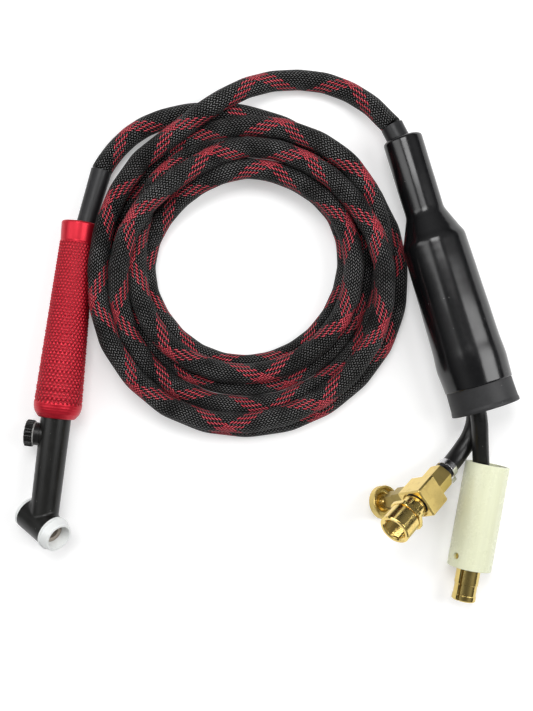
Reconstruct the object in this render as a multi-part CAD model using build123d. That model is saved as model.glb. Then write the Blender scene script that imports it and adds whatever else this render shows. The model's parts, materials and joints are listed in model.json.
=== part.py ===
"""Air-cooled TIG torch laid out flat: torch, coiled braided cable, junction sleeve, power pin and
gas shut-off valve.

Units are millimetres. +Z is up and the object lies on the plane Z = 0. The origin is under the
middle of the rigid pieces. +Y runs from the valve and pin towards the top of the cable coil, and
+X from the torch towards the junction sleeve.
"""

import os
from math import cos, radians, sin, tan

from build123d import *

# Clearances
seat_gap = 0.1  # radial gap of a piece pushed or screwed into its seat
face_gap = 0.1  # gap between two faces that are clamped together
run_gap = 0.05  # radial gap of a turning fit
clear_gap = 0.5  # gap beside a piece that moves

# Torch, along its own axis from the rear rim of the grip
torch_start = (-128.1, 97.2, 12.7)
head_place = (-152.4, -112.5, 19.3)
grip_length = 137.2
collar_length = 13.7
collar_radius = 11.6
collar_step = 0.6
collar_step_length = 0.6
collar_edge = 1.0
grip_radius = 16.5
grip_taper_to_end = 13.2
grip_nose_radius = 12.4
grip_nose_length = 9.2
grip_bore_radius = 10.6
neck_rear_radius = 10.5
neck_front_radius = 9.75
neck_shank_length = 32.0
neck_tube_radius = 6.35
neck_tube_wall = 1.2
neck_tube_inside = 53.2

# Torch head, along the axis of its barrel
head_plan_deg = -30.3
head_rise_deg = 35.0
barrel_radius = 11.2
barrel_rear = -15.3
barrel_front = 10.8
barrel_fillet = 3.0
gasket_thickness = 2.2
gasket_bore = 6.6
head_core_radius = 7.6
head_core_front = 11.5
head_core_rear = -13.5
collet_bore_radius = 4.2
collet_bore_length = 16.0
cap_bore_radius = 5.1
gas_port_radius = 1.5
insulator_flange_radius = 12.1
insulator_flange = 2.2
insulator_front = 18.5
insulator_lip_radius = 10.3
insulator_lip_edge = 1.0
insulator_mouth_radius = 8.5
insulator_throat_radius = 7.0

# Torch gas valve, outwards from the neck's axis
valve_beyond_grip = 12.4
valve_boss_radius = 7.6
valve_boss_end = 13.6
valve_seat_radius = 4.4
valve_seat_inner = 6.6
valve_seat_end = 13.6
valve_stem_radius = 2.0
valve_stem_start = 7.6
valve_oring_section = 0.9
valve_oring_place = 11.2
knob_radius = 9.35
knob_thickness = 5.2
knob_start = 14.1
knob_flutes = 13
knob_flute_radius = 1.7
knob_hub_radius = 4.2
knob_skirt_inner = 7.4
knob_skirt_depth = 2.6
knob_edge = 0.8
knob_button_radius = 4.6
knob_button_height = 0.3

# Cable end at the torch
cable_radius = 7.15
boot_grip_offset = 4.15
boot_inside = 16.0
boot_end = (-113.6, 133.9, 8.8)
boot_rear_radius = 6.35
boot_front_radius = 7.3
union_radius = 8.4
union_length = 26.0
union_start = 52.0
core_radius = 4.6
core_length = 30.0

# Cable coil: a ring of turns
coil_centre = (-12.2, 66.4)
coil_outer = (105.5, 117.2)
coil_inner = (64.4, 62.2)
coil_height = 29.0
coil_edge = 9.0

# Share of a run that the bend at each of its ends may take
bend_share = 0.45

# Cable routes, from the torch boot into the coil and from the coil to the junction collar
torch_lead_points = [
    boot_end,
    (-111.7, 140.6, 8.3),
    (-105.5, 151.6, 7.6),
    (-96.9, 160.8, 7.2),
    (-86.4, 167.8, 7.2),
    (-72.3, 172.9, 7.2),
    (-54.6, 176.0, 7.2),
    (-35.6, 176.2, 7.2),
    (-16.8, 173.2, 7.2),
]
collar_place = (89.3, 163.5, 18.4)
junction_lead_points = [
    (-73.9, 144.9, 21.0),
    (-58.5, 159.0, 22.8),
    (-43.8, 171.2, 23.2),
    (-27.3, 181.9, 21.5),
    (-10.8, 191.3, 17.0),
    (6.8, 196.6, 11.5),
    (25.3, 197.9, 8.0),
    (43.0, 195.9, 7.6),
    (59.8, 189.6, 9.8),
    (75.4, 179.2, 14.0),
    collar_place,
]

# Junction, along its axis from the rim of the narrow end
junction_start = (96.0, 154.6, 20.1)
junction_end = (148.0, -15.5, 25.45)
sleeve_wall = 1.6
sleeve_neck_radius = 13.65
sleeve_neck_length = 52.0
sleeve_cone_length = 21.0
sleeve_body_radius = 22.2
sleeve_waist_radius = 23.7
sleeve_waist_place = 150.0
sleeve_bulge_radius = 24.9
sleeve_bulge_place = 163.5
sleeve_end_radius = 23.6
sleeve_rim_edge = 1.2
entry_radius = 7.9
entry_inside = 13.0
entry_bush_length = 11.0
former_wall = 2.4
former_start = 56.0
block_radius = 13.0
block_start = 84.0
block_length = 46.0
splice_radius = 5.0
splice_start = 20.0
splice_gap = 1.2
cap_length = 17.2
cap_radius = 23.8
cap_lip = 0.9
cap_lip_length = 3.6
cap_floor = 6.0
cap_spigot = 12.0
cap_dish = 2.5

# Gas hose and power lead: outer radii and where they leave the end cap (right, up)
hose_radius = 6.25
hose_bore = 3.3
hose_root = (0.0, -6.4)
hose_exit = (-5.5, -9.5)
lead_radius = 5.75
lead_root = (0.0, 5.9)
lead_exit = (-6.6, 7.4)
hose_bend = [(148.7, -37.3, 15.6), (145.6, -52.0, 12.2)]
lead_bend = [(147.4, -36.5, 32.3), (150.6, -65.5, 20.3)]
lead_straight = 12.0
barb_radius = 3.2
barb_bore = 1.6
conductor_radius = 3.6

# Gas shut-off valve: its axis runs from the hose to the outlet, its stem across it
valve_place = (107.5, -90.6, 40.7)
valve_plan_deg = 221.0
valve_rise_deg = 36.0
stem_hint = (-0.577, -0.200, -0.792)
block_width = 21.0
block_depth = 18.5
block_edge = 1.0
gas_bore_radius = 3.0
inlet_hex_flats = 15.8
inlet_hex_length = 15.2
inlet_thread_radius = 6.0
inlet_thread_length = 5.0
hex_chamfer = 0.9
barb_length = 12.0
hose_end_place = 25.0
clamp_place = 31.5
clamp_width = 5.0
clamp_thickness = 0.9
clamp_ear_width = 4.6
clamp_ear_height = 3.2
clamp_ear_deg = -10.0
bonnet_flats = 15.0
bonnet_length = 12.5
bonnet_spigot_radius = 6.0
bonnet_spigot_length = 3.9
gland_flats = 12.0
gland_length = 8.8
gland_thread_radius = 4.4
gland_thread_length = 4.0
shut_stem_radius = 2.2
shut_stem_tip = 1.2
packing_radius = 3.6
packing_length = 2.0
wheel_place = 36.0
wheel_radius = 11.8
wheel_depth = 6.2
wheel_rim_wall = 2.2
wheel_floor = 1.2
wheel_boss_radius = 5.2
wheel_boss_top = 0.3
wheel_edge = 0.5
wheel_nut_radius = 3.4
wheel_nut_height = 1.6
wheel_turns = 2.5
stem_pitch = 1.25

# Outlet coupling, along the valve axis from the block's outlet face
swivel_radius = 8.5
swivel_tail_radius = 6.2
swivel_tail_length = 5.0
swivel_neck_length = 9.25
swivel_hex_flats = 20.6
swivel_hex_length = 3.6
mouth_radius = 10.8
mouth_length = 13.9
mouth_bore_radius = 7.5
mouth_bore_length = 14.0
mouth_chamfer = 1.1
swivel_seal_section = 1.1

# Power pin and its insulating sleeve, along their axis from the sleeve's open end
pin_start = (156.4, -71.1, 15.5)
pin_end = (139.3, -165.9, 15.5)
insulator_length = 73.3
insulator_radius = 15.4
insulator_wall = 2.3
insulator_edge = 0.5
adaptor_start = 32.0
adaptor_end = 70.2
pin_radius = 8.4
pin_recess_radius = 8.0
pin_recess_start = 84.5
pin_lip_start = 92.0
pin_lip_radius = 8.4
pin_edge = 0.8
pin_slot_width = 1.1
pin_slot_depth = 2.4
pin_slot_deg = 127.0
socket_depth = 24.0
set_screw_radius = 2.5
set_screw_places = (40.0, 50.0)
screw_place = 65.5
screw_deg = 143.0
screw_hole_radius = 2.3
screw_depth = 6.0
screw_slot = (0.8, 1.0)

# Values that follow from the ones above
junction_length = (Vector(*junction_end) - Vector(*junction_start)).length
block_half = block_depth / 2
wheel_travel = wheel_turns * stem_pitch
insulator_bore = insulator_radius - insulator_wall
adaptor_radius = insulator_bore - seat_gap
up = Vector(0, 0, 1)


def frame(origin, direction, side):
    """A local frame with +Z along direction and +X as near to side as it can be."""
    z_axis = Vector(*direction).normalized()
    side = Vector(*side)
    return Plane(origin=origin, x_dir=(side - z_axis * side.dot(z_axis)).normalized(), z_dir=z_axis)


def lying_frame(start, end):
    """A local frame along a lying piece: +Z from start to end, +X level, +Y up."""
    direction = Vector(*end) - Vector(*start)
    return frame(start, direction, up.cross(direction))


def heading(plan_deg, rise_deg):
    """The direction with this bearing from +X and this rise above the level."""
    plan, rise = radians(plan_deg), radians(rise_deg)
    return (cos(rise) * cos(plan), cos(rise) * sin(plan), sin(rise))


def turned(outline):
    """A solid of revolution about Z from (radius, height) points."""
    wire = Polyline(*[(radius, 0, height) for radius, height in outline], close=True)
    return revolve(make_face(wire), Axis.Z, 360)


def rod(radius, start, end):
    """A round bar on Z from start to end."""
    return Pos(0, 0, start) * Cylinder(radius, end - start, align=(Align.CENTER, Align.CENTER, Align.MIN))


def tube(outer, inner, start, end):
    """A round pipe on Z from start to end."""
    return rod(outer, start, end) - rod(inner, start - 1, end + 1)


def hex_bar(flats, start, end, chamfer=hex_chamfer):
    """A hexagonal bar on Z whose corners are turned down at both ends."""
    bar = extrude(RegularPolygon(flats / 2, 6, major_radius=False), end - start)
    corner = flats / 2 / cos(radians(30))
    edge = corner - chamfer
    slope = chamfer * tan(radians(30))
    blank = turned(
        [(0, start), (edge, start), (corner, start + slope), (corner, end - slope), (edge, end), (0, end)]
    )
    return (Pos(0, 0, start) * bar) & blank


def round_edges(solid, size, height, radius):
    """Fillet the circular edges at this height and radius."""
    edges = [
        edge
        for edge in solid.edges().filter_by(GeomType.CIRCLE)
        if abs(edge.arc_center.Z - height) < 0.01 and abs(edge.radius - radius) < 0.01
    ]
    return fillet(edges, size)


def ring_of(section, radius, height):
    """A round-section ring about Z."""
    return Pos(0, 0, height) * Torus(radius, section)


torch = lying_frame(torch_start, head_place)
torch_length = (Vector(*head_place) - Vector(*torch_start)).length
head = frame(head_place, heading(head_plan_deg, head_rise_deg), torch.z_dir)
knob_place = torch.from_local_coords((0, 0, grip_length + valve_beyond_grip))
knob_frame = frame(knob_place, -torch.x_dir, torch.z_dir)
neck_tube_start = grip_length - neck_tube_inside
junction = lying_frame(junction_start, junction_end)
valve = frame(valve_place, heading(valve_plan_deg, valve_rise_deg), stem_hint)
stem = frame(valve_place, valve.x_dir, valve.z_dir)
power = lying_frame(pin_start, pin_end)


def at(plane, solid):
    """Move a solid from a local frame into the object's frame."""
    return plane.location * solid


def route_radii(points):
    """The bend radius at each inner point of a cable route."""
    places = [Vector(*point) for point in points]
    radii = []
    for before, corner, after in zip(places, places[1:], places[2:]):
        turn = (corner - before).get_angle(after - corner)
        shorter = min((corner - before).length, (after - corner).length)
        radii.append(bend_share * shorter / tan(radians(turn) / 2))
    return radii


def cable(points, outer, inner=0.0):
    """A pipe along straight runs joined by tangent arcs."""
    radii = route_radii(points)
    path = FilletPolyline(*points, radius=radii)
    section = Plane(origin=path @ 0, z_dir=path % 0) * Circle(outer)
    if inner:
        section = section - Plane(origin=path @ 0, z_dir=path % 0) * Circle(inner)
    return sweep(section, path=path)


def make_grip():
    """Hollow knurled handle: rear collar, taper, and a rounded nose around the neck."""
    outline = Polyline(
        (grip_nose_radius, 0, grip_length),
        (0, 0, grip_length),
        (0, 0, 0),
        (collar_radius, 0, 0),
        (collar_radius, 0, collar_length),
        (collar_radius + collar_step, 0, collar_length + collar_step_length),
        (grip_radius, 0, grip_length - grip_taper_to_end),
        (grip_radius, 0, grip_length - grip_nose_length),
    )
    nose = TangentArc(outline @ 1, outline @ 0, tangent=(0, 0, 1))
    body = revolve(make_face([outline, nose]), Axis.Z, 360)
    body = round_edges(body, collar_edge, 0, collar_radius)
    return at(torch, body - rod(grip_bore_radius, -1, grip_length + 1))


def head_outer():
    """The head's moulded barrel on its own axis."""
    barrel = rod(barrel_radius, barrel_rear, barrel_front)
    return at(head, barrel)


def neck_outer():
    """The tapering moulded neck from inside the grip to the head."""
    taper_start = grip_length
    return at(torch, turned([
        (0, grip_length - neck_shank_length),
        (neck_rear_radius, grip_length - neck_shank_length),
        (neck_rear_radius, taper_start),
        (neck_front_radius, torch_length),
        (0, torch_length),
    ]))


def make_moulding():
    """The rubber moulding over neck and head, with the boss of the gas valve."""
    boss = at(knob_frame, rod(valve_boss_radius, 0, valve_boss_end))
    neck = neck_outer() + boss
    barrel = head_outer()
    body = neck + barrel
    joint = [
        edge
        for edge in body.edges()
        if (edge.center() - Vector(*head_place)).length < barrel_radius * 1.5
        and edge.geom_type not in (GeomType.CIRCLE, GeomType.LINE)
    ]
    body = fillet(joint, barrel_fillet)
    body = body - at(head, rod(head_core_radius + seat_gap, barrel_rear - 1, barrel_front + 1))
    body = body - at(torch, rod(neck_tube_radius + seat_gap, 0, torch_length))
    return body - at(knob_frame, rod(valve_seat_radius + seat_gap, 0, valve_boss_end + 1))


def make_neck_tube():
    """The copper conduit from the cable union to the head."""
    pipe = tube(neck_tube_radius, neck_tube_radius - neck_tube_wall, neck_tube_start, torch_length)
    pipe = at(torch, pipe)
    pipe = pipe - at(head, rod(head_core_radius + face_gap, barrel_rear, barrel_front + insulator_front))
    return pipe - at(knob_frame, rod(valve_seat_radius + seat_gap, 0, valve_boss_end))


def make_head_core():
    """The brass head: a collet-body bore in front and a back-cap bore behind."""
    core = rod(head_core_radius, head_core_rear, head_core_front)
    core = core - rod(collet_bore_radius, head_core_front - collet_bore_length, head_core_front + 1)
    core = at(head, core - rod(cap_bore_radius, head_core_rear - 1, head_core_front - collet_bore_length))
    return core - at(torch, rod(gas_port_radius, torch_length - 2 * head_core_radius, torch_length))


def make_gasket():
    """The back-cap gasket ring on the rear face of the head."""
    rear = barrel_rear - gasket_thickness
    ring = tube(barrel_radius, gasket_bore, rear, barrel_rear - face_gap)
    return at(head, ring)


def make_front_insulator():
    """The white insulator in front of the head: flange, tapering shoulder, open recess."""
    base = barrel_front + face_gap
    face = head_core_front + face_gap
    outer = turned([
        (0, base),
        (insulator_flange_radius, base),
        (insulator_flange_radius, base + insulator_flange),
        (insulator_flange_radius - insulator_lip_edge / 2, base + insulator_flange),
        (insulator_lip_radius, insulator_front),
        (0, insulator_front),
    ])
    outer = round_edges(outer, insulator_lip_edge, insulator_front, insulator_lip_radius)
    mouth = turned([
        (0, face),
        (insulator_throat_radius, face),
        (insulator_mouth_radius, insulator_front),
        (insulator_mouth_radius, insulator_front + 1),
        (0, insulator_front + 1),
    ])
    return at(head, outer - mouth - rod(head_core_radius + seat_gap, base - 1, face + face_gap))


def make_valve_seat():
    """The brass seat block of the torch gas valve, in the moulded boss."""
    seat = rod(valve_seat_radius, valve_seat_inner, valve_seat_end)
    seat = seat - rod(valve_stem_radius + run_gap, valve_stem_start - clear_gap, valve_seat_end + 1)
    groove_radius = valve_stem_radius + 2 * valve_oring_section + 2 * run_gap
    groove = rod(groove_radius, valve_oring_place - valve_oring_section - clear_gap, valve_seat_end + 1)
    return at(knob_frame, seat - groove)


def make_valve_oring():
    """The stem's O-ring, which travels along with the stem."""
    ring = ring_of(valve_oring_section, valve_stem_radius + run_gap + valve_oring_section, valve_oring_place)
    return at(knob_frame, ring)


def make_valve_stem():
    """The valve's threaded stem with its conical tip."""
    end = knob_start + knob_thickness - knob_edge * 2
    stem_solid = turned([
        (0, valve_stem_start),
        (valve_stem_radius / 2, valve_stem_start),
        (valve_stem_radius, valve_stem_start + valve_stem_radius),
        (valve_stem_radius, end),
        (0, end),
    ])
    return at(knob_frame, stem_solid)


def make_knob():
    """The fluted valve knob, hollow underneath, with a raised button on its face."""
    end = knob_start + knob_thickness
    body = rod(knob_radius, knob_start, end)
    body = round_edges(body, knob_edge, end, knob_radius)
    for index in range(knob_flutes):
        flute = Rot(0, 0, index * 360 / knob_flutes) * Pos(knob_radius + knob_flute_radius / 3, 0, 0)
        body = body - flute * rod(knob_flute_radius, knob_start - 1, end + 1)
    body = body - tube(knob_skirt_inner, knob_hub_radius, knob_start - 1, knob_start + knob_skirt_depth)
    body = body + rod(knob_button_radius, end - knob_edge, end + knob_button_height)
    return at(knob_frame, body - rod(valve_stem_radius + run_gap, knob_start - 1, end + 1))


def make_knob_screw():
    """The small screw that holds the knob on its stem."""
    start = knob_start + knob_thickness - knob_edge * 2 + face_gap
    end = knob_start + knob_thickness + knob_button_height
    return at(knob_frame, rod(valve_stem_radius, start, end - knob_edge))


def boot_frame():
    """The frame of the cable boot, from inside the grip to the boot's free end."""
    mouth = torch.from_local_coords((boot_grip_offset, 0, 0))
    direction = Vector(*boot_end) - mouth
    start = mouth - direction.normalized() * boot_inside
    return frame(start, direction, up.cross(direction))


def boot_length():
    """The boot's whole length."""
    mouth = torch.from_local_coords((boot_grip_offset, 0, 0))
    return boot_inside + (Vector(*boot_end) - mouth).length


def make_boot():
    """The tapering shrink boot over the end of the cable."""
    outer = turned([
        (0, 0),
        (boot_rear_radius, 0),
        (boot_rear_radius, boot_inside),
        (boot_front_radius, boot_length()),
        (0, boot_length()),
    ])
    return at(boot_frame(), outer - rod(core_radius, -1, boot_inside))


def make_cable_core():
    """The inner hose and conductor that run from the boot to the cable union."""
    start = boot_frame().from_local_coords((0, 0, boot_inside - 1.5 * face_gap))
    middle = boot_frame().from_local_coords((0, 0, -core_radius))
    end = torch.from_local_coords((0, 0, union_start - face_gap))
    lead_in = torch.from_local_coords((0, 0, union_start - core_length / 2))
    points = [start, middle, lead_in, end]
    return cable([tuple(point) for point in points], core_radius - seat_gap)


def make_union():
    """The brass union nut that joins the cable to the neck tube."""
    end = union_start + union_length
    nut = hex_bar(union_radius * 2 * cos(radians(30)), union_start, end)
    return at(torch, nut - rod(gas_bore_radius, union_start - 1, end + 1))


def make_neck_plug():
    """The brazed fitting that screws into the union and closes the rear of the neck tube."""
    start = union_start + union_length + face_gap
    spigot = neck_tube_start + neck_tube_radius * 2
    fitting = rod(neck_tube_radius, start, neck_tube_start - face_gap)
    fitting = fitting + rod(neck_tube_radius - neck_tube_wall - seat_gap, start, spigot)
    return at(torch, fitting - rod(gas_bore_radius, start - 1, spigot + 1))


def make_coil():
    """The coiled length of braided cable as one ring with rounded edges."""
    ring = extrude(Ellipse(*coil_outer) - Ellipse(*coil_inner), coil_height)
    ring = fillet(ring.edges().group_by(Axis.Z)[-1], coil_edge)
    ring = fillet(ring.edges().group_by(Axis.Z)[0], coil_edge / 3)
    return Pos(*coil_centre, 0) * ring


def make_torch_lead():
    """The cable from the torch boot into the coil."""
    return cable(torch_lead_points, cable_radius)


def make_junction_lead():
    """The cable from the coil to the junction collar."""
    return cable(junction_lead_points, cable_radius)


def entry_frame():
    """The frame of the cable's last straight stretch, into the junction."""
    before, last = (Vector(*point) for point in junction_lead_points[-2:])
    target = junction.from_local_coords((0, 0, entry_inside))
    return frame(collar_place, target - last, up.cross(target - last))


def entry_length():
    """From the collar's outer face to its inner end."""
    target = junction.from_local_coords((0, 0, entry_inside))
    return (target - Vector(*collar_place)).length


def make_entry_collar():
    """The grey shrink collar over the cable's end at the junction."""
    return at(entry_frame(), rod(entry_radius, face_gap, entry_length()))


def sleeve_outline(inset):
    """(radius, place) points of the junction sleeve's outside, moved inwards by inset."""
    cone_end = sleeve_neck_length + sleeve_cone_length
    return [
        (sleeve_neck_radius - inset, sleeve_neck_length),
        (sleeve_body_radius - inset, cone_end),
        (sleeve_waist_radius - inset, sleeve_waist_place),
        (sleeve_bulge_radius - inset, sleeve_bulge_place),
        (sleeve_end_radius - inset, junction_length),
    ]


def make_junction_sleeve():
    """The shrink sleeve over the junction: narrow neck, cone, and a body with a low bulge."""
    outer = turned([(0, 0), (sleeve_neck_radius, 0)] + sleeve_outline(0) + [(0, junction_length)])
    outer = round_edges(outer, sleeve_rim_edge, 0, sleeve_neck_radius)
    below, above = -1, junction_length + 1
    bore = turned(
        [(0, below), (sleeve_neck_radius - sleeve_wall, below)]
        + sleeve_outline(sleeve_wall)
        + [(sleeve_end_radius - sleeve_wall, above), (0, above)]
    )
    return at(junction, outer - bore)


def make_entry_bush():
    """The rubber bush that centres the cable in the sleeve's narrow end."""
    radius = sleeve_neck_radius - sleeve_wall - seat_gap
    bush = at(junction, rod(radius, sleeve_rim_edge, sleeve_rim_edge + entry_bush_length))
    return bush - at(entry_frame(), rod(entry_radius + seat_gap, -1, entry_length() + entry_bush_length))


def make_former():
    """The stiff liner that gives the sleeve its shape."""
    inset = sleeve_wall + seat_gap
    profile = [(r, z) for r, z in sleeve_outline(inset)][1:]
    start_radius = sleeve_neck_radius - inset
    end = junction_length - cap_spigot - face_gap
    last_radius = sleeve_end_radius - inset
    outer = turned(
        [(0, former_start), (start_radius, former_start)]
        + profile[:-1]
        + [(last_radius, end), (0, end)]
    )
    outer = outer & at_rest_bore(inset)
    inner = turned([
        (0, former_start - 1),
        (block_radius + seat_gap, former_start - 1),
        (block_radius + seat_gap, block_start + block_length),
        (sleeve_body_radius - inset - former_wall, block_start + block_length + former_wall),
        (sleeve_body_radius - inset - former_wall, end + 1),
        (0, end + 1),
    ])
    return at(junction, outer - inner)


def at_rest_bore(inset):
    """The room inside the sleeve, as a solid in the junction's frame."""
    return turned(
        [(0, 0), (sleeve_neck_radius - inset, 0)] + sleeve_outline(inset) + [(0, junction_length)]
    )


def make_splice():
    """The cable's core from the collar to the junction block."""
    start = entry_frame().from_local_coords((0, 0, entry_length() + splice_gap))
    middle = junction.from_local_coords((0, 0, splice_start * 2))
    end = junction.from_local_coords((0, 0, block_start - face_gap))
    return cable([tuple(start), tuple(middle), tuple(end)], splice_radius)


def make_junction_block():
    """The block that splits the cable's core into the gas branch and the power branch."""
    end = block_start + block_length
    block = rod(block_radius, block_start, end)
    gas = Pos(*hose_root, 0) * rod(barb_bore, block_start - 1, end + 1)
    current = Pos(*lead_root, 0) * rod(conductor_radius + seat_gap, end - block_length / 2, end + 1)
    return at(junction, block - gas - current)


def make_block_barb():
    """The barb that carries the gas hose inside the junction."""
    start = block_start + block_length + face_gap
    return at(junction, Pos(*hose_root, 0) * tube(barb_radius, barb_bore, start, start + barb_length))


def branch_points(root_place, exit_place, tail):
    """A branch's route: off the junction block, through the end cap, then on to the tail points."""
    start = block_start + block_length + 3 * face_gap
    inside = [
        junction.from_local_coords((*root_place, start)),
        junction.from_local_coords((*root_place, start + (junction_length - start) / 2)),
        junction.from_local_coords((*exit_place, junction_length - cap_spigot / 4)),
    ]
    return [tuple(point) for point in inside] + tail


def hose_points():
    """The gas hose's route from the junction block to the valve's barb."""
    straight = clamp_place + barb_length
    tail = [
        tuple(valve.from_local_coords((0, 0, -straight))),
        tuple(valve.from_local_coords((0, 0, -hose_end_place))),
    ]
    return branch_points(hose_root, hose_exit, hose_bend + tail)


def lead_points():
    """The power lead's route from the junction block to the pin's socket."""
    tail = [
        tuple(power.from_local_coords((0, 0, adaptor_start - lead_straight))),
        tuple(power.from_local_coords((0, 0, adaptor_start - face_gap))),
    ]
    return branch_points(lead_root, lead_exit, lead_bend + tail)


def make_gas_hose():
    """The gas hose from the junction to the shut-off valve."""
    return cable(hose_points(), hose_radius, hose_bore)


def make_power_lead():
    """The power lead from the junction to the pin."""
    return cable(lead_points(), lead_radius)


def make_lead_conductors():
    """The bare copper at both ends of the power lead, as two separate ends."""
    end = block_start + block_length
    inner = rod(conductor_radius, end - block_length / 2 + face_gap, end + face_gap)
    inner = at(junction, Pos(*lead_root, 0) * inner)
    outer = at(power, rod(conductor_radius, adaptor_start, adaptor_start + socket_depth - face_gap))
    return Compound(children=[inner, outer])


def make_end_cap():
    """The rubber cap that closes the junction's wide end around hose and lead."""
    start, end = junction_length + face_gap, junction_length + cap_length
    spigot_radius = sleeve_end_radius - sleeve_wall - seat_gap
    cap = turned([
        (0, start),
        (cap_radius - cap_lip, start),
        (cap_radius - cap_lip / 2, end - cap_lip_length),
        (cap_radius, end - cap_lip_length / 2),
        (cap_radius, end),
        (0, end),
    ])
    cap = round_edges(cap, cap_lip / 2, end, cap_radius)
    cap = cap + rod(spigot_radius, junction_length - cap_spigot, start)
    cap = cap - rod(cap_radius - cap_lip - cap_dish, end - cap_dish, end + 1)
    cap = cap - rod(spigot_radius - cap_dish, junction_length - cap_spigot - 1, end - cap_dish - cap_floor)
    hose_room = cable(hose_points(), hose_radius + seat_gap)
    lead_room = cable(lead_points(), lead_radius + seat_gap)
    return at(junction, cap) - hose_room - lead_room


def make_valve_block():
    """The valve's square block with its gas ways, stem seat and outlet socket."""
    half = block_width / 2
    block = Box(block_width, block_width, block_depth)
    block = chamfer(block.edges(), block_edge)
    block = block - rod(gas_bore_radius, -block_half - 1, -1)
    thread_end = inlet_thread_length - block_half + face_gap
    block = block - rod(inlet_thread_radius + seat_gap, -block_half - 1, thread_end)
    tail_end = block_half - swivel_tail_length - clear_gap
    block = block - rod(swivel_tail_radius + run_gap, tail_end, block_half + 1)
    block = block - rod(gas_bore_radius, 0, block_half)
    groove = swivel_radius + swivel_seal_section
    block = block - rod(groove, block_half - 2 * swivel_seal_section, block_half + 1)
    across = Plane(origin=(0, 0, 0), x_dir=(0, 0, 1), z_dir=(1, 0, 0))
    stem_bore = rod(shut_stem_radius + clear_gap, shut_stem_tip - clear_gap, half + 1)
    spigot = rod(bonnet_spigot_radius + seat_gap, half - bonnet_spigot_length - face_gap, half + 1)
    return at(valve, block - at(across, stem_bore) - at(across, spigot))


def make_inlet_nipple():
    """The inlet hex with its threaded end and the barb inside the hose."""
    face = -block_half - face_gap
    back = face - inlet_hex_length
    nipple = hex_bar(inlet_hex_flats, back, face)
    nipple = nipple + rod(inlet_thread_radius, face, -block_half + inlet_thread_length)
    nipple = nipple + rod(barb_radius, back - barb_length, back)
    return at(valve, nipple - rod(barb_bore, back - barb_length - 1, inlet_thread_length))


def make_hose_clamp():
    """The steel band around the hose, closed by a crimped ear."""
    inner = hose_radius + seat_gap
    outer = inner + clamp_thickness
    start = -clamp_place - clamp_width / 2
    band = tube(outer, inner, start, start + clamp_width)
    ear = Box(clamp_ear_width, clamp_ear_height + clamp_thickness, clamp_width)
    window = (clamp_ear_width - 2 * clamp_thickness, clamp_ear_height - clamp_thickness)
    ear = ear - Box(*window, clamp_width + 1)
    ear = Pos(0, outer + clamp_ear_height / 2 - clamp_thickness / 2, -clamp_place) * ear
    ear = Rot(0, 0, clamp_ear_deg) * ear - rod(inner, start - 1, start + clamp_width + 1)
    return at(valve, band + ear)


def make_bonnet():
    """The stem's hexagonal bonnet, screwed into the valve block."""
    base = block_width / 2 + face_gap
    bonnet = hex_bar(bonnet_flats, base, base + bonnet_length)
    bonnet = bonnet + rod(bonnet_spigot_radius, base - bonnet_spigot_length, base)
    end = base + bonnet_length + 1
    bonnet = bonnet - rod(shut_stem_radius + run_gap, base - bonnet_spigot_length - 1, end)
    bonnet = bonnet - rod(gland_thread_radius + seat_gap, gland_thread_start(), end)
    chamber = packing_start() - wheel_travel - clear_gap
    return at(stem, bonnet - rod(packing_radius + run_gap, chamber, gland_thread_start() + 1))


def gland_thread_start():
    """Where the gland nut's thread ends inside the bonnet."""
    return block_width / 2 + bonnet_length - gland_thread_length


def make_gland():
    """The gland nut that holds the stem's packing."""
    base = block_width / 2 + bonnet_length + 2 * face_gap
    gland = hex_bar(gland_flats, base, base + gland_length)
    gland = gland + rod(gland_thread_radius, gland_thread_start(), base)
    bore = rod(shut_stem_radius + run_gap, gland_thread_start() - 1, base + gland_length + 1)
    return at(stem, gland - bore)


def packing_start():
    """Where the stem's packing ring starts when the valve is open, just below the gland's thread."""
    return gland_thread_start() - clear_gap - packing_length


def make_packing():
    """The packing ring, which travels along with the stem."""
    start = packing_start()
    return at(stem, tube(packing_radius, shut_stem_radius + run_gap, start, start + packing_length))


def make_shut_stem():
    """The shut-off stem with its conical tip."""
    start = shut_stem_tip + wheel_travel
    end = wheel_place + wheel_depth + wheel_nut_height
    body = turned([
        (0, start),
        (shut_stem_radius / 2, start),
        (shut_stem_radius, start + shut_stem_radius),
        (shut_stem_radius, end),
        (0, end),
    ])
    return at(stem, body)


def make_handwheel():
    """The handwheel: a cup open towards the valve with a raised boss around the stem."""
    end = wheel_place + wheel_depth
    wheel = rod(wheel_radius, wheel_place, end)
    wheel = round_edges(wheel, wheel_edge, end, wheel_radius)
    wheel = wheel - rod(wheel_radius - wheel_rim_wall, wheel_place - 1, end - wheel_floor)
    wheel = wheel + rod(wheel_boss_radius, wheel_place + wheel_boss_top, end)
    return at(stem, wheel - rod(shut_stem_radius + run_gap, wheel_place - 1, end + 1))


def make_wheel_nut():
    """The nut that holds the handwheel on its stem."""
    end = wheel_place + wheel_depth
    nut = hex_bar(wheel_nut_radius * 2, end + face_gap, end + wheel_nut_height, hex_chamfer / 3)
    return at(stem, nut - rod(shut_stem_radius + run_gap, end - 1, end + wheel_nut_height + 1))


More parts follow.
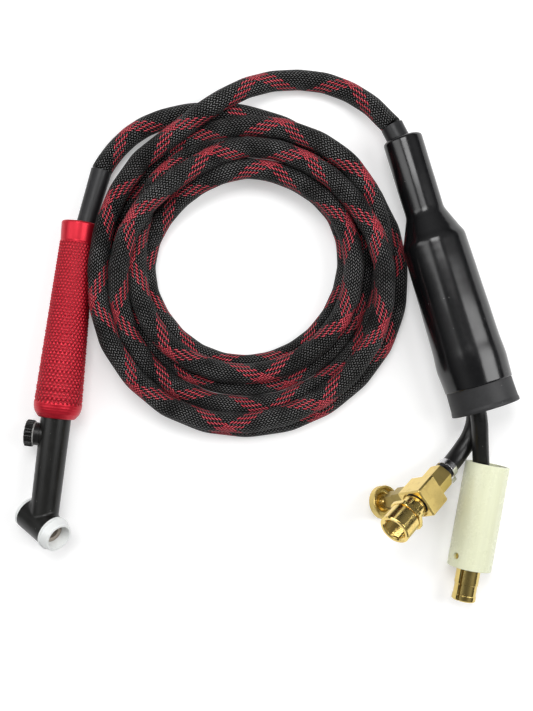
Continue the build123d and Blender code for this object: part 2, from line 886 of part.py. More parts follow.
def make_coupling():
    """The swivelling outlet: tail in the block, round neck, thin hex and threaded mouth."""
    face = block_half + clear_gap
    hex_start = block_half + swivel_neck_length
    hex_end = hex_start + swivel_hex_length
    end = hex_end + mouth_length
    body = turned([
        (0, block_half - swivel_tail_length),
        (swivel_tail_radius, block_half - swivel_tail_length),
        (swivel_tail_radius, face),
        (swivel_radius, face),
        (swivel_radius, hex_end),
        (mouth_radius, hex_end),
        (mouth_radius, end),
        (0, end),
    ])
    body = round_edges(body, mouth_chamfer / 2, end, mouth_radius)
    body = body + hex_bar(swivel_hex_flats, hex_start, hex_end)
    body = body - rod(mouth_bore_radius, end - mouth_bore_length, end + 1)
    flare = turned([
        (0, end - mouth_chamfer),
        (mouth_bore_radius, end - mouth_chamfer),
        (mouth_bore_radius + mouth_chamfer, end),
        (mouth_bore_radius + mouth_chamfer, end + 1),
        (0, end + 1),
    ])
    return at(valve, body - flare - rod(gas_bore_radius, block_half - swivel_tail_length - 1, end))


def make_swivel_seal():
    """The black seal ring between the valve block and the swivelling outlet."""
    radius = swivel_tail_radius + run_gap + swivel_seal_section
    return at(valve, ring_of(swivel_seal_section, radius, block_half - swivel_seal_section + face_gap / 2))


def make_insulator():
    """The insulating sleeve around the power pin, with a screw hole near its lower end."""
    sleeve = tube(insulator_radius, insulator_bore, 0, insulator_length)
    for height in (0, insulator_length):
        sleeve = round_edges(sleeve, insulator_edge, height, insulator_radius)
    return at(power, sleeve - screw_axis() * rod(screw_hole_radius, insulator_bore - 1, insulator_radius + 1))


def screw_axis():
    """Where the retaining screw sits: its place on the axis and its turn about it."""
    return Pos(0, 0, screw_place) * Rot(0, 0, screw_deg) * Rot(0, 90, 0)


def make_adaptor():
    """The brass pin: a thick body inside the insulator, a slotted barrel and an end lip."""
    end = (Vector(*pin_end) - Vector(*pin_start)).length
    body = turned([
        (0, adaptor_start),
        (adaptor_radius, adaptor_start),
        (adaptor_radius, adaptor_end),
        (pin_radius, adaptor_end),
        (pin_radius, pin_recess_start),
        (pin_recess_radius, pin_recess_start + pin_edge / 2),
        (pin_recess_radius, pin_lip_start),
        (pin_lip_radius, pin_lip_start + pin_edge / 2),
        (pin_lip_radius, end - pin_edge),
        (pin_lip_radius - pin_edge, end),
        (0, end),
    ])
    body = body - rod(conductor_radius + seat_gap, adaptor_start - 1, adaptor_start + socket_depth)
    slot = Pos(pin_lip_radius, 0, (adaptor_end + end) / 2 + 1) * Box(
        2 * pin_slot_depth, pin_slot_width, end - adaptor_end + 1
    )
    body = body - Rot(0, 0, pin_slot_deg) * slot
    depth = adaptor_radius - screw_depth
    body = body - screw_axis() * rod(screw_hole_radius + seat_gap, depth - face_gap, adaptor_radius + 1)
    for place in set_screw_places:
        body = body - set_screw(place, seat_gap)
    return at(power, body)


def set_screw(place, gap):
    """One of the cable's clamping screws, grown by gap, pointing down at the conductor."""
    start, end = conductor_radius + seat_gap, adaptor_radius - clear_gap
    return Pos(0, 0, place) * Rot(-90, 0, 0) * rod(set_screw_radius + gap, start - gap, end + gap)


def make_set_screws():
    """The two screws that clamp the power lead in the pin's socket."""
    return Compound(children=[at(power, set_screw(place, 0)) for place in set_screw_places])


def make_insulator_screw():
    """The slotted screw under the insulator's hole."""
    screw = rod(screw_hole_radius, adaptor_radius - screw_depth, adaptor_radius)
    width, depth = screw_slot
    slot = Pos(0, 0, adaptor_radius) * Box(3 * screw_hole_radius, width, 2 * depth)
    return at(power, screw_axis() * (screw - slot))


parts = {
    "grip": make_grip,
    "torch_moulding": make_moulding,
    "neck_tube": make_neck_tube,
    "head_core": make_head_core,
    "back_gasket": make_gasket,
    "front_insulator": make_front_insulator,
    "gas_valve_seat": make_valve_seat,
    "gas_valve_oring": make_valve_oring,
    "gas_valve_stem": make_valve_stem,
    "gas_valve_knob": make_knob,
    "knob_screw": make_knob_screw,
    "cable_boot": make_boot,
    "cable_core": make_cable_core,
    "cable_union": make_union,
    "neck_fitting": make_neck_plug,
    "cable_torch_lead": make_torch_lead,
    "cable_coil": make_coil,
    "cable_junction_lead": make_junction_lead,
    "entry_collar": make_entry_collar,
    "entry_bush": make_entry_bush,
    "junction_sleeve": make_junction_sleeve,
    "junction_former": make_former,
    "cable_splice": make_splice,
    "junction_block": make_junction_block,
    "block_barb": make_block_barb,
    "end_cap": make_end_cap,
    "gas_hose": make_gas_hose,
    "power_lead": make_power_lead,
    "lead_conductors": make_lead_conductors,
    "hose_clamp": make_hose_clamp,
    "inlet_nipple": make_inlet_nipple,
    "valve_block": make_valve_block,
    "stem_bonnet": make_bonnet,
    "gland_nut": make_gland,
    "stem_packing": make_packing,
    "shut_off_stem": make_shut_stem,
    "handwheel": make_handwheel,
    "handwheel_nut": make_wheel_nut,
    "outlet_coupling": make_coupling,
    "swivel_seal": make_swivel_seal,
    "pin_insulator": make_insulator,
    "power_pin": make_adaptor,
    "set_screws": make_set_screws,
    "insulator_screw": make_insulator_screw,
}

os.makedirs("parts", exist_ok=True)
cord_nodes = ("cable_torch_lead", "cable_coil", "cable_junction_lead")
rigid = []
for name, make in parts.items():
    solid = make()
    export_step(solid, f"parts/{name}.step")
    if name not in cord_nodes:
        rigid.append(solid.bounding_box())
low = [min(getattr(box.min, axis) for box in rigid) for axis in "XYZ"]
high = [max(getattr(box.max, axis) for box in rigid) for axis in "XYZ"]
print("rigid pieces from", [round(value, 2) for value in low], "to", [round(value, 2) for value in high])
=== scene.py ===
"""Looks of the TIG torch set: braided cable, knurled grip, glossy sleeve, brass valve and pin.

Lengths are in metres, in the frame of the solids. Each new piece is one numpy surface; the other
pieces are the solids themselves with a finish of their own.
"""

import json
import math

import bpy
import numpy as np
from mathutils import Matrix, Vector


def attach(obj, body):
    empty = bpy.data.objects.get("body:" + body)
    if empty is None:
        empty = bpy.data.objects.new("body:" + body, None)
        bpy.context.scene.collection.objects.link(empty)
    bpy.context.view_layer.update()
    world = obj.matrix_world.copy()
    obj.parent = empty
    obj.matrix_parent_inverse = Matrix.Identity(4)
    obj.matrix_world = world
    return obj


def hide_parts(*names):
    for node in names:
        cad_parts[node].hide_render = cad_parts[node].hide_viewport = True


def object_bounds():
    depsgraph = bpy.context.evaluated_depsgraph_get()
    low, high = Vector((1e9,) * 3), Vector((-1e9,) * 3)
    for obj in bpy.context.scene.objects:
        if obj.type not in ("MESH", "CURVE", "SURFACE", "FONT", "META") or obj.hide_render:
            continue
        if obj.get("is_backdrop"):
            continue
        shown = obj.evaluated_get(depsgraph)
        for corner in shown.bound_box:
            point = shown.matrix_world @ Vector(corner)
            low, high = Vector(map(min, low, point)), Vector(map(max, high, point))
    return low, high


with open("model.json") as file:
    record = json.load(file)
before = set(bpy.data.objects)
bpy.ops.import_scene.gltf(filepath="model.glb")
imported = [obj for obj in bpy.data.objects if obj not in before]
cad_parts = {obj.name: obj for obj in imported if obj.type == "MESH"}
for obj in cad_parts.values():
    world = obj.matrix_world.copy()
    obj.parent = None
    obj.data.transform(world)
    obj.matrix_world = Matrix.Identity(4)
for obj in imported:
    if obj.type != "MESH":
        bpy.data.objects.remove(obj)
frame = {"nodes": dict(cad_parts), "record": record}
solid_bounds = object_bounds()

bl_info = {
    "name": "TIG torch set",
    "version": (1, 0, 0),
    "blender": (4, 5, 0),
    "location": "3D View > Sidebar > TIG torch",
    "description": "Dresses the TIG torch, its braided cable, junction, power pin and gas valve",
    "category": "Object",
}

# ---------------------------------------------------------------- places read from the solids


def hole(name):
    """A mount's place and direction."""
    mount = next(mount for mount in frame["record"]["mounts"] if mount["name"] == name)
    return np.array(mount["pos_m"]), np.array(mount["axis"])


def turn_axis(name):
    """A hinge's place and direction."""
    joint = next(joint for joint in frame["record"]["behaviour"]["joints"] if joint["name"] == name)
    return np.array(joint["pos_m"]), np.array(joint["axis"])


def corners(node):
    """The distinct vertices of a solid, in the frame."""
    piece = frame["nodes"][node]
    count = len(piece.data.vertices)
    flat = np.empty(count * 3)
    piece.data.vertices.foreach_get("co", flat)
    world = np.array(piece.matrix_world)
    places = flat.reshape(count, 3) @ world[:3, :3].T + world[:3, 3]
    return np.unique(places.round(7), axis=0)


class Axis:
    """A straight axis with two directions across it: along, right and upper."""

    def __init__(self, start, direction, upper=(0, 0, 1)):
        self.start = np.asarray(start, float)
        self.along = np.asarray(direction, float) / np.linalg.norm(direction)
        upper = np.asarray(upper, float)
        upper = upper - self.along * (upper @ self.along)
        self.upper = upper / np.linalg.norm(upper)
        self.right = np.cross(self.upper, self.along)

    def local(self, places):
        """(right, upper, along) of places in the frame."""
        offset = np.asarray(places) - self.start
        return np.stack([offset @ self.right, offset @ self.upper, offset @ self.along], axis=-1)

    def place(self, right, upper, along):
        """Places in the frame from their (right, upper, along)."""
        parts = zip((right, upper, along), (self.right, self.upper, self.along))
        return self.start + sum(np.asarray(part)[..., None] * way for part, way in parts)


def axis_of(node, towards):
    """The axis of a long turned solid, from its end away from towards; its start is that end."""
    places = corners(node)
    centre = places.mean(0)
    direction = np.linalg.svd(places - centre, full_matrices=False)[2][0]
    if direction @ np.asarray(towards, float) < 0:
        direction = -direction
    lows = (places - centre) @ direction
    return Axis(centre + direction * lows.min(), direction)


def outer_profile(node, axis):
    """(place along, radius) of a turned solid's outside, from its own vertices."""
    local = axis.local(corners(node))
    radius = np.hypot(local[:, 0], local[:, 1])
    along = local[:, 2].round(5)
    steps = np.unique(along)
    outside = np.array([radius[along == step].max() for step in steps])
    keep = outside > 0.3 * outside.max()
    return steps[keep], outside[keep]


def bore_radius(node, axis):
    """The bore's radius at the end of a turned solid."""
    local = axis.local(corners(node))
    return float(np.hypot(local[:, 0], local[:, 1]).min())


# ---------------------------------------------------------------- mesh making


def mesh_object(name, places, faces, around=None, smooth=True):
    """A mesh object from places and faces; around gives a UV pair for each corner."""
    mesh = bpy.data.meshes.new(name)
    mesh.from_pydata(places.tolist(), [], faces)
    if around is not None:
        mesh.uv_layers.new(name="surface").data.foreach_set("uv", around.reshape(-1))
    mesh.polygons.foreach_set("use_smooth", np.full(len(mesh.polygons), smooth))
    mesh.update()
    piece = bpy.data.objects.new(name, mesh)
    bpy.context.scene.collection.objects.link(piece)
    return piece


def outward_piece(name, places, faces, around):
    """A mesh object of quads, turned outward by the sign of its volume."""
    first, second, third, fourth = (places[faces[:, part]] for part in range(4))
    volume = np.einsum("ij,ij->i", first, np.cross(second, third)).sum()
    volume += np.einsum("ij,ij->i", first, np.cross(third, fourth)).sum()
    if volume < 0:
        faces, around = faces[:, ::-1], around[:, ::-1]
    return mesh_object(name, places, faces.tolist(), around)


def ring_faces(rows, columns, wrap):
    """Quads of a grid whose columns close on themselves, and whose rows do too if wrap."""
    row = np.arange(rows if wrap else rows - 1)[:, None]
    column = np.arange(columns)[None, :]
    after, beside = (row + 1) % rows, (column + 1) % columns
    here, there = row * columns, after * columns
    corner = np.broadcast_arrays(here + column, here + beside, there + beside, there + column)
    return np.stack(corner, -1).reshape(-1, 4)


def ring_uv(rows, columns, along, wrap):
    """UV of the same grid: the share of a turn, and the length along in metres."""
    row = np.arange(rows if wrap else rows - 1)[:, None]
    column = np.arange(columns)[None, :]
    near = np.broadcast_to(along[row], (len(row), columns))
    far = np.broadcast_to(along[(row + 1) % rows], (len(row), columns))
    left = np.broadcast_to(column / columns, near.shape)
    right = left + 1 / columns
    pairs = [(left, near), (right, near), (right, far), (left, far)]
    return np.stack([np.stack(pair, -1) for pair in pairs], -2).reshape(-1, 4, 2)


def turned_piece(name, axis, along, radius, columns, shift=0.0):
    """A closed turned surface: the profile runs round its section and back to its first point.

    Each place is the axis at its distance along plus its radius in a direction that turns evenly,
    and shift is added to the radius at each row and column.
    """
    rows = len(along)
    angle = np.arange(columns) / columns * 2 * math.pi
    radii = np.asarray(radius)[:, None] + shift + np.zeros((rows, columns))
    distance = np.asarray(along)[:, None] + np.zeros_like(radii)
    places = axis.place(radii * np.cos(angle), radii * np.sin(angle), distance)
    length = np.concatenate([[0], np.cumsum(np.hypot(np.diff(along), np.diff(radius)))])
    faces = ring_faces(rows, columns, True)
    around = ring_uv(rows, columns, length, True)
    return outward_piece(name, places.reshape(-1, 3), faces, around)


def fine_profile(along, radius, step, softness=0.0):
    """A profile with points every step, its corners rounded over softness."""
    count = max(2, int(round((along[-1] - along[0]) / step)) + 1)
    fine = np.linspace(along[0], along[-1], count)
    values = np.interp(fine, along, radius)
    if softness:
        reach = max(1, int(round(softness / step)))
        kernel = np.hanning(2 * reach + 3)[1:-1]
        padded = np.concatenate([np.full(reach, values[0]), values, np.full(reach, values[-1])])
        values = np.convolve(padded, kernel / kernel.sum(), "valid")[:count]
    return fine, values


def dressed(piece, body, slot, material, *nodes):
    """Gives a new piece its body and finish, and hides the solids that it stands for."""
    piece.data.materials.append(material)
    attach(piece, body)
    if nodes:
        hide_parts(*nodes)
    return piece


def finish_solids(material, *nodes):
    """Gives solids their finish."""
    for node in nodes:
        mesh = frame["nodes"][node].data
        mesh.materials.clear()
        mesh.materials.append(material)


# ---------------------------------------------------------------- node making


class Tree:
    """A node tree with short calls for the nodes that the finishes use."""

    def __init__(self, tree):
        self.tree = tree

    def node(self, kind, **settings):
        """A node with its settings."""
        made = self.tree.nodes.new(kind)
        for key, value in settings.items():
            setattr(made, key, value)
        return made

    def feed(self, socket, value):
        """Sets a socket, or links it to another."""
        if isinstance(value, bpy.types.NodeSocket):
            self.tree.links.new(value, socket)
        else:
            socket.default_value = value

    def sum(self, operation, *values, clamp=False):
        """A Math node."""
        made = self.node("ShaderNodeMath", operation=operation, use_clamp=clamp)
        for socket, value in zip(made.inputs, values):
            self.feed(socket, value)
        return made.outputs[0]

    def mix(self, share, first, second):
        """A colour between first and second."""
        made = self.node("ShaderNodeMix", data_type="RGBA")
        self.feed(made.inputs["Factor"], share)
        self.feed(made.inputs[6], first)
        self.feed(made.inputs[7], second)
        return made.outputs[2]

    def span(self, value, low, high, to_low=0.0, to_high=1.0):
        """Maps low..high to to_low..to_high, held at the ends."""
        made = self.node("ShaderNodeMapRange", clamp=True)
        for socket, number in zip(made.inputs, (value, low, high, to_low, to_high)):
            self.feed(socket, number)
        return made.outputs[0]

    def distance(self, place, way):
        """How far a place lies along a direction."""
        made = self.node("ShaderNodeVectorMath", operation="DOT_PRODUCT")
        self.feed(made.inputs[0], place)
        made.inputs[1].default_value = tuple(way)
        return made.outputs["Value"]

    def noise(self, place, scale, detail=3.0, roughness=0.5):
        """A noise value at a place."""
        made = self.node("ShaderNodeTexNoise")
        self.feed(made.inputs["Vector"], place)
        self.feed(made.inputs["Scale"], scale)
        made.inputs["Detail"].default_value = detail
        made.inputs["Roughness"].default_value = roughness
        return made.outputs["Fac"]


def shared_group(name, inputs, outputs, build):
    """A node group with these sockets, made once."""
    if name in bpy.data.node_groups:
        return bpy.data.node_groups[name]
    group = bpy.data.node_groups.new(name, "ShaderNodeTree")
    for label, kind in inputs:
        group.interface.new_socket(label, in_out="INPUT", socket_type=kind)
    for label, kind in outputs:
        group.interface.new_socket(label, in_out="OUTPUT", socket_type=kind)
    tree = Tree(group)
    build(tree, tree.node("NodeGroupInput").outputs, tree.node("NodeGroupOutput").inputs)
    return group


def use_group(tree, group, **values):
    """A group node with its inputs set or linked."""
    made = tree.node("ShaderNodeGroup", node_tree=group)
    for key, value in values.items():
        tree.feed(made.inputs[key], value)
    return made.outputs


def build_specks(tree, given, result):
    """Dust: points at the centres of a cell pattern, in the given share of its cells."""
    cells = tree.node("ShaderNodeTexVoronoi")
    tree.feed(cells.inputs["Vector"], given["Place"])
    tree.feed(cells.inputs["Scale"], given["Scale"])
    near = tree.span(cells.outputs["Distance"], 0.06, 0.11, 1.0, 0.0)
    pick = tree.node("ShaderNodeSeparateColor")
    tree.feed(pick.inputs[0], cells.outputs["Color"])
    chosen = tree.sum("GREATER_THAN", pick.outputs[0], tree.sum("SUBTRACT", 1.0, given["Share"]))
    tree.feed(result["Mask"], tree.sum("MULTIPLY", near, chosen))


def build_wear(tree, given, result):
    """Uneven handling: six parts of a broad noise and four of one nine times as fine."""
    broad = tree.noise(given["Place"], given["Scale"], 2.0)
    fine = tree.noise(given["Place"], tree.sum("MULTIPLY", given["Scale"], 9.0), 4.0, 0.6)
    both = tree.sum("ADD", tree.sum("MULTIPLY", broad, 0.6), tree.sum("MULTIPLY", fine, 0.4))
    tree.feed(result["Value"], both)


def build_braid(tree, given, result):
    """A two-over-two braid of carriers wound both ways, with a tracer band in each direction.

    The phase of each family is the number of carriers times the share of a turn plus or minus the
    length over the pitch. The whole part numbers the carrier, and the sum of both numbers modulo
    four says which family is on top. A float is a half wave across and along its carrier.
    """
    split = tree.node("ShaderNodeSeparateXYZ")
    tree.feed(split.inputs[0], given["Surface"])
    turn, along = split.outputs[0], tree.sum("DIVIDE", split.outputs[1], given["Pitch"])
    first = tree.sum("MULTIPLY", tree.sum("ADD", turn, along), given["Carriers"])
    second = tree.sum("MULTIPLY", tree.sum("SUBTRACT", turn, along), given["Carriers"])
    number = [tree.sum("FLOOR", phase) for phase in (first, second)]
    share = [tree.sum("FRACT", phase) for phase in (first, second)]
    order = tree.sum("FLOORED_MODULO", tree.sum("ADD", *number), 4.0)
    first_top = tree.sum("LESS_THAN", order, 1.5)

    def height(across, other, start):
        """The height of a float across and along its carrier."""
        wave = tree.sum("SINE", tree.sum("MULTIPLY", across, math.pi))
        run = tree.sum("DIVIDE", tree.sum("ADD", tree.sum("SUBTRACT", order, start), other), 2.0)
        bow = tree.sum("SINE", tree.sum("MULTIPLY", run, math.pi))
        return tree.sum("MULTIPLY", tree.sum("POWER", wave, 0.5), tree.sum("POWER", bow, 0.6))

    def upper(pair):
        """The first of a pair where the first family is on top, else the second."""
        change = tree.sum("MULTIPLY", first_top, tree.sum("SUBTRACT", *pair))
        return tree.sum("ADD", change, pair[1])

    tall = [height(share[0], share[1], 0.0), height(share[1], share[0], 2.0)]
    relief, across = upper(tall), upper(share)
    ends = tree.sum("ABSOLUTE", tree.sum("SINE", tree.sum("MULTIPLY", across, 3 * math.pi)))

    def band(count):
        """Where a carrier's number falls in the tracer band."""
        place = tree.sum("FLOORED_MODULO", count, given["Carriers"])
        return tree.sum("LESS_THAN", place, tree.sum("SUBTRACT", given["Band"], 0.5))

    top_band = upper([band(count) for count in number])
    middle = tree.sum("ABSOLUTE", tree.sum("SUBTRACT", across, 0.5))
    tracer = tree.sum("MULTIPLY", top_band, tree.span(middle, 0.20, 0.28, 1.0, 0.0))
    grain = tree.noise(given["Place"], 900.0, 2.0, 0.6)
    patch = tree.noise(given["Place"], 60.0, 2.0, 0.5)
    # painted glint: grey dashes on the crests and middles of the black floats, where they would
    # catch the light
    painted_glint = tree.span(relief, 0.58, 0.92)
    painted_glint = tree.sum("MULTIPLY", painted_glint, tree.span(middle, 0.10, 0.26, 1.0, 0.0))
    painted_glint = tree.sum("MULTIPLY", painted_glint, tree.span(patch, 0.35, 0.65, 0.40, 1.0))
    painted_glint = tree.sum("MULTIPLY", painted_glint, tree.span(grain, 0.35, 0.65, 0.50, 1.0))
    black = tree.mix(painted_glint, (0.001, 0.001, 0.001, 1), (0.360, 0.360, 0.360, 1))
    red = tree.mix(tree.span(grain, 0.3, 0.7), (0.60, 0.025, 0.045, 1), (0.98, 0.200, 0.240, 1))
    colour = tree.mix(tracer, black, red)
    # painted shade: the colour goes to black where a float sinks at its ends and under the carriers
    # beside it
    shade = tree.span(relief, 0.0, 0.45, 0.06, 1.0)
    dark = tree.mix(shade, (0.001, 0.001, 0.001, 1), colour)
    tree.feed(result["Color"], dark)
    tree.feed(result["Height"], tree.sum("ADD", relief, tree.sum("MULTIPLY", ends, 0.15)))
    tree.feed(result["Roughness"], tree.span(grain, 0.3, 0.7, 0.55, 0.34))


def specks_group():
    """The dust group."""
    inputs = [("Place", "NodeSocketVector")]
    inputs += [(name, "NodeSocketFloat") for name in ("Scale", "Share")]
    return shared_group("dust specks", inputs, [("Mask", "NodeSocketFloat")], build_specks)


def wear_group():
    """The handling group."""
    inputs = [("Place", "NodeSocketVector"), ("Scale", "NodeSocketFloat")]
    return shared_group("handling wear", inputs, [("Value", "NodeSocketFloat")], build_wear)


def braid_group():
    """The braid group."""
    inputs = [("Surface", "NodeSocketVector"), ("Place", "NodeSocketVector")]
    inputs += [(name, "NodeSocketFloat") for name in ("Carriers", "Pitch", "Band")]
    outputs = [("Color", "NodeSocketColor")]
    outputs += [(name, "NodeSocketFloat") for name in ("Height", "Roughness")]
    return shared_group("cable braid", inputs, outputs, build_braid)


def new_material(name):
    """A material with one Principled shader; returns it, its tree and the shader's inputs."""
    material = bpy.data.materials.new(name)
    material.use_nodes = True
    tree = Tree(material.node_tree)
    shader = material.node_tree.nodes["Principled BSDF"]
    return material, tree, shader.inputs


def object_place(tree):
    """Object coordinates."""
    return tree.node("ShaderNodeTexCoord").outputs["Object"]


def relief(tree, inputs, height, distance, strength=1.0, round_edge=0.0):
    """Feeds the shader's normal from a height, over edges that are rounded in the shading."""
    bump = tree.node("ShaderNodeBump")
    bump.inputs["Strength"].default_value = strength
    bump.inputs["Distance"].default_value = distance
    tree.feed(bump.inputs["Height"], height)
    if round_edge:
        edge = tree.node("ShaderNodeBevel", samples=4)
        edge.inputs["Radius"].default_value = round_edge
        tree.feed(bump.inputs["Normal"], edge.outputs[0])
    tree.feed(inputs["Normal"], bump.outputs[0])


# ---------------------------------------------------------------- finishes


def braid_finish(look):
    """The cable's woven cover."""
    material, tree, inputs = new_material("woven cable cover")
    surface = tree.node("ShaderNodeUVMap", uv_map="surface").outputs[0]
    made = use_group(
        tree, braid_group(), Surface=surface, Place=object_place(tree),
        Carriers=float(look.carriers), Pitch=look.pitch, Band=float(look.band),
    )
    tree.feed(inputs["Base Color"], made["Color"])
    tree.feed(inputs["Roughness"], made["Roughness"])
    inputs["Specular IOR Level"].default_value = 0.06
    relief(tree, inputs, made["Height"], 0.0009)
    return material


def rubber_finish(name, tone, rough, dust):
    """Black or grey rubber with uneven gloss and a little dust."""
    material, tree, inputs = new_material(name)
    place = object_place(tree)
    wear = use_group(tree, wear_group(), Place=place, Scale=70.0)["Value"]
    specks = use_group(tree, specks_group(), Place=place, Scale=420.0, Share=dust)["Mask"]
    light = tuple(min(1.0, part * 1.6 + 0.002) for part in tone)
    body = tree.mix(tree.span(wear, 0.35, 0.68), (*tone, 1), (*light, 1))
    dusty = tree.mix(tree.sum("MULTIPLY", specks, 0.5), body, (0.4, 0.4, 0.38, 1))
    tree.feed(inputs["Base Color"], dusty)
    tree.feed(inputs["Roughness"], tree.span(wear, 0.3, 0.7, rough - 0.07, rough + 0.09))
    inputs["Specular IOR Level"].default_value = 0.32
    height = tree.sum("ADD", wear, tree.sum("MULTIPLY", specks, 0.6))
    relief(tree, inputs, height, 0.00002, round_edge=0.0003)
    return material


def gloss_finish(name, tone):
    """Glossy black shrink sleeve: clear reflections with a soft unevenness."""
    material, tree, inputs = new_material(name)
    place = object_place(tree)
    wear = use_group(tree, wear_group(), Place=place, Scale=38.0)["Value"]
    specks = use_group(tree, specks_group(), Place=place, Scale=330.0, Share=0.10)["Mask"]
    light = tuple(part * 1.6 for part in tone)
    body = tree.mix(tree.span(wear, 0.3, 0.7), (*tone, 1), (*light, 1))
    dusty = tree.mix(tree.sum("MULTIPLY", specks, 0.5), body, (0.35, 0.35, 0.34, 1))
    tree.feed(inputs["Base Color"], dusty)
    tree.feed(inputs["Roughness"], tree.span(wear, 0.32, 0.68, 0.15, 0.24))
    relief(tree, inputs, wear, 0.00003)
    return material


def metal_finish(name, tone, dark, rough, way=None, coarse=0.0):
    """Machined metal: faint tarnish, rounded edges and, given a way, tool lines across it."""
    tool_feed = 0.00042
    material, tree, inputs = new_material(name)
    place = object_place(tree)
    wear = use_group(tree, wear_group(), Place=place, Scale=90.0)["Value"]
    stain = tree.noise(place, 160.0, 4.0, 0.65)
    share = tree.span(stain, 0.52, 0.75, 0.0, 0.40)
    tree.feed(inputs["Base Color"], tree.mix(share, (*tone, 1), (*dark, 1)))
    inputs["Metallic"].default_value = 1.0
    tree.feed(inputs["Roughness"], tree.span(wear, 0.3, 0.7, rough - 0.05, rough + 0.08))
    height = tree.sum("MULTIPLY", wear, 0.08 + coarse)
    if way is not None:
        wave = tree.sum("MULTIPLY", tree.distance(place, way), 2 * math.pi / tool_feed)
        height = tree.sum("ADD", height, tree.sum("MULTIPLY", tree.sum("SINE", wave), 0.05))
    relief(tree, inputs, height, 0.00002, round_edge=0.00035)
    return material


def anodised_finish(colour):
    """The grip's red: painted shade deep in the grooves of the knurl, and pale ridges that are part
    wear and part painted highlight.
    """
    material, tree, inputs = new_material("red anodised grip")
    place = object_place(tree)
    wear = use_group(tree, wear_group(), Place=place, Scale=80.0)["Value"]
    ridge = tree.node("ShaderNodeAttribute", attribute_name="ridge").outputs["Fac"]
    # painted shade: the grooves take 0.30 of the red, rising to the full red on the ridges
    deep = tuple(part * 0.30 for part in colour) + (1,)
    pale = tuple(min(1.0, part * 1.5 + 0.04) for part in colour) + (1,)
    body = tree.mix(tree.span(ridge, 0.05, 0.5), deep, (*colour, 1))
    # the pale ridge tops, where the wear noise is high, are part wear and part painted highlight
    worn = tree.sum("MULTIPLY", tree.span(ridge, 0.72, 1.0), tree.span(wear, 0.38, 0.6))
    tree.feed(inputs["Base Color"], tree.mix(worn, body, pale))
    inputs["Metallic"].default_value = 0.6
    tree.feed(inputs["Roughness"], tree.span(wear, 0.3, 0.7, 0.34, 0.46))
    relief(tree, inputs, wear, 0.00003)
    return material


def ceramic_finish(name, tone, rough, streak=0.0, axis=None):
    """White or pale green plastic with faint streaks along an axis."""
    material, tree, inputs = new_material(name)
    place = object_place(tree)
    wear = use_group(tree, wear_group(), Place=place, Scale=60.0)["Value"]
    faint = tuple(part * 0.93 for part in tone) + (1,)
    mark = tree.span(wear, 0.35, 0.65)
    if axis is not None:
        # the noise is stretched along the axis by taking 93% of that distance away
        back = tree.node("ShaderNodeVectorMath", operation="SCALE")
        back.inputs[0].default_value = tuple(axis.along)
        distance = tree.distance(place, axis.along)
        tree.feed(back.inputs["Scale"], tree.sum("MULTIPLY", distance, -0.93))
        drawn = tree.node("ShaderNodeVectorMath", operation="ADD")
        tree.feed(drawn.inputs[0], place)
        tree.feed(drawn.inputs[1], back.outputs[0])
        mark = tree.span(tree.noise(drawn.outputs[0], 420.0, 3.0, 0.6), 0.42, 0.62)
    share = tree.sum("MULTIPLY", mark, 0.4 + streak)
    tree.feed(inputs["Base Color"], tree.mix(share, (*tone, 1), faint))
    tree.feed(inputs["Roughness"], tree.span(wear, 0.3, 0.7, rough - 0.05, rough + 0.06))
    inputs["Subsurface Weight"].default_value = 0.12
    inputs["Subsurface Radius"].default_value = (0.002, 0.002, 0.0018)
    inputs["Subsurface Scale"].default_value = 0.5
    relief(tree, inputs, wear, 0.00001, round_edge=0.0003)
    return material


# ---------------------------------------------------------------- the cable's route

torch_lead = [
    (-0.1136, 0.1339, 0.0088),
    (-0.1104, 0.1399, 0.0083),
    (-0.1033, 0.1494, 0.0076),
    (-0.0943, 0.1582, 0.0072),
    (-0.0838, 0.1652, 0.0072),
    (-0.0702, 0.1707, 0.0072),
    (-0.0536, 0.1744, 0.0072),
    (-0.0356, 0.1754, 0.0072),
    (-0.0168, 0.1732, 0.0072),
]
junction_lead = [
    (-0.0438, 0.1712, 0.0232),
    (-0.0273, 0.1819, 0.0215),
    (-0.0108, 0.1913, 0.0170),
    (0.0068, 0.1966, 0.0115),
    (0.0253, 0.1979, 0.0080),
    (0.0430, 0.1959, 0.0076),
    (0.0598, 0.1896, 0.0098),
    (0.0754, 0.1792, 0.0140),
    (0.0893, 0.1635, 0.0184),
]
coil_centre = (-0.0113, 0.0664)
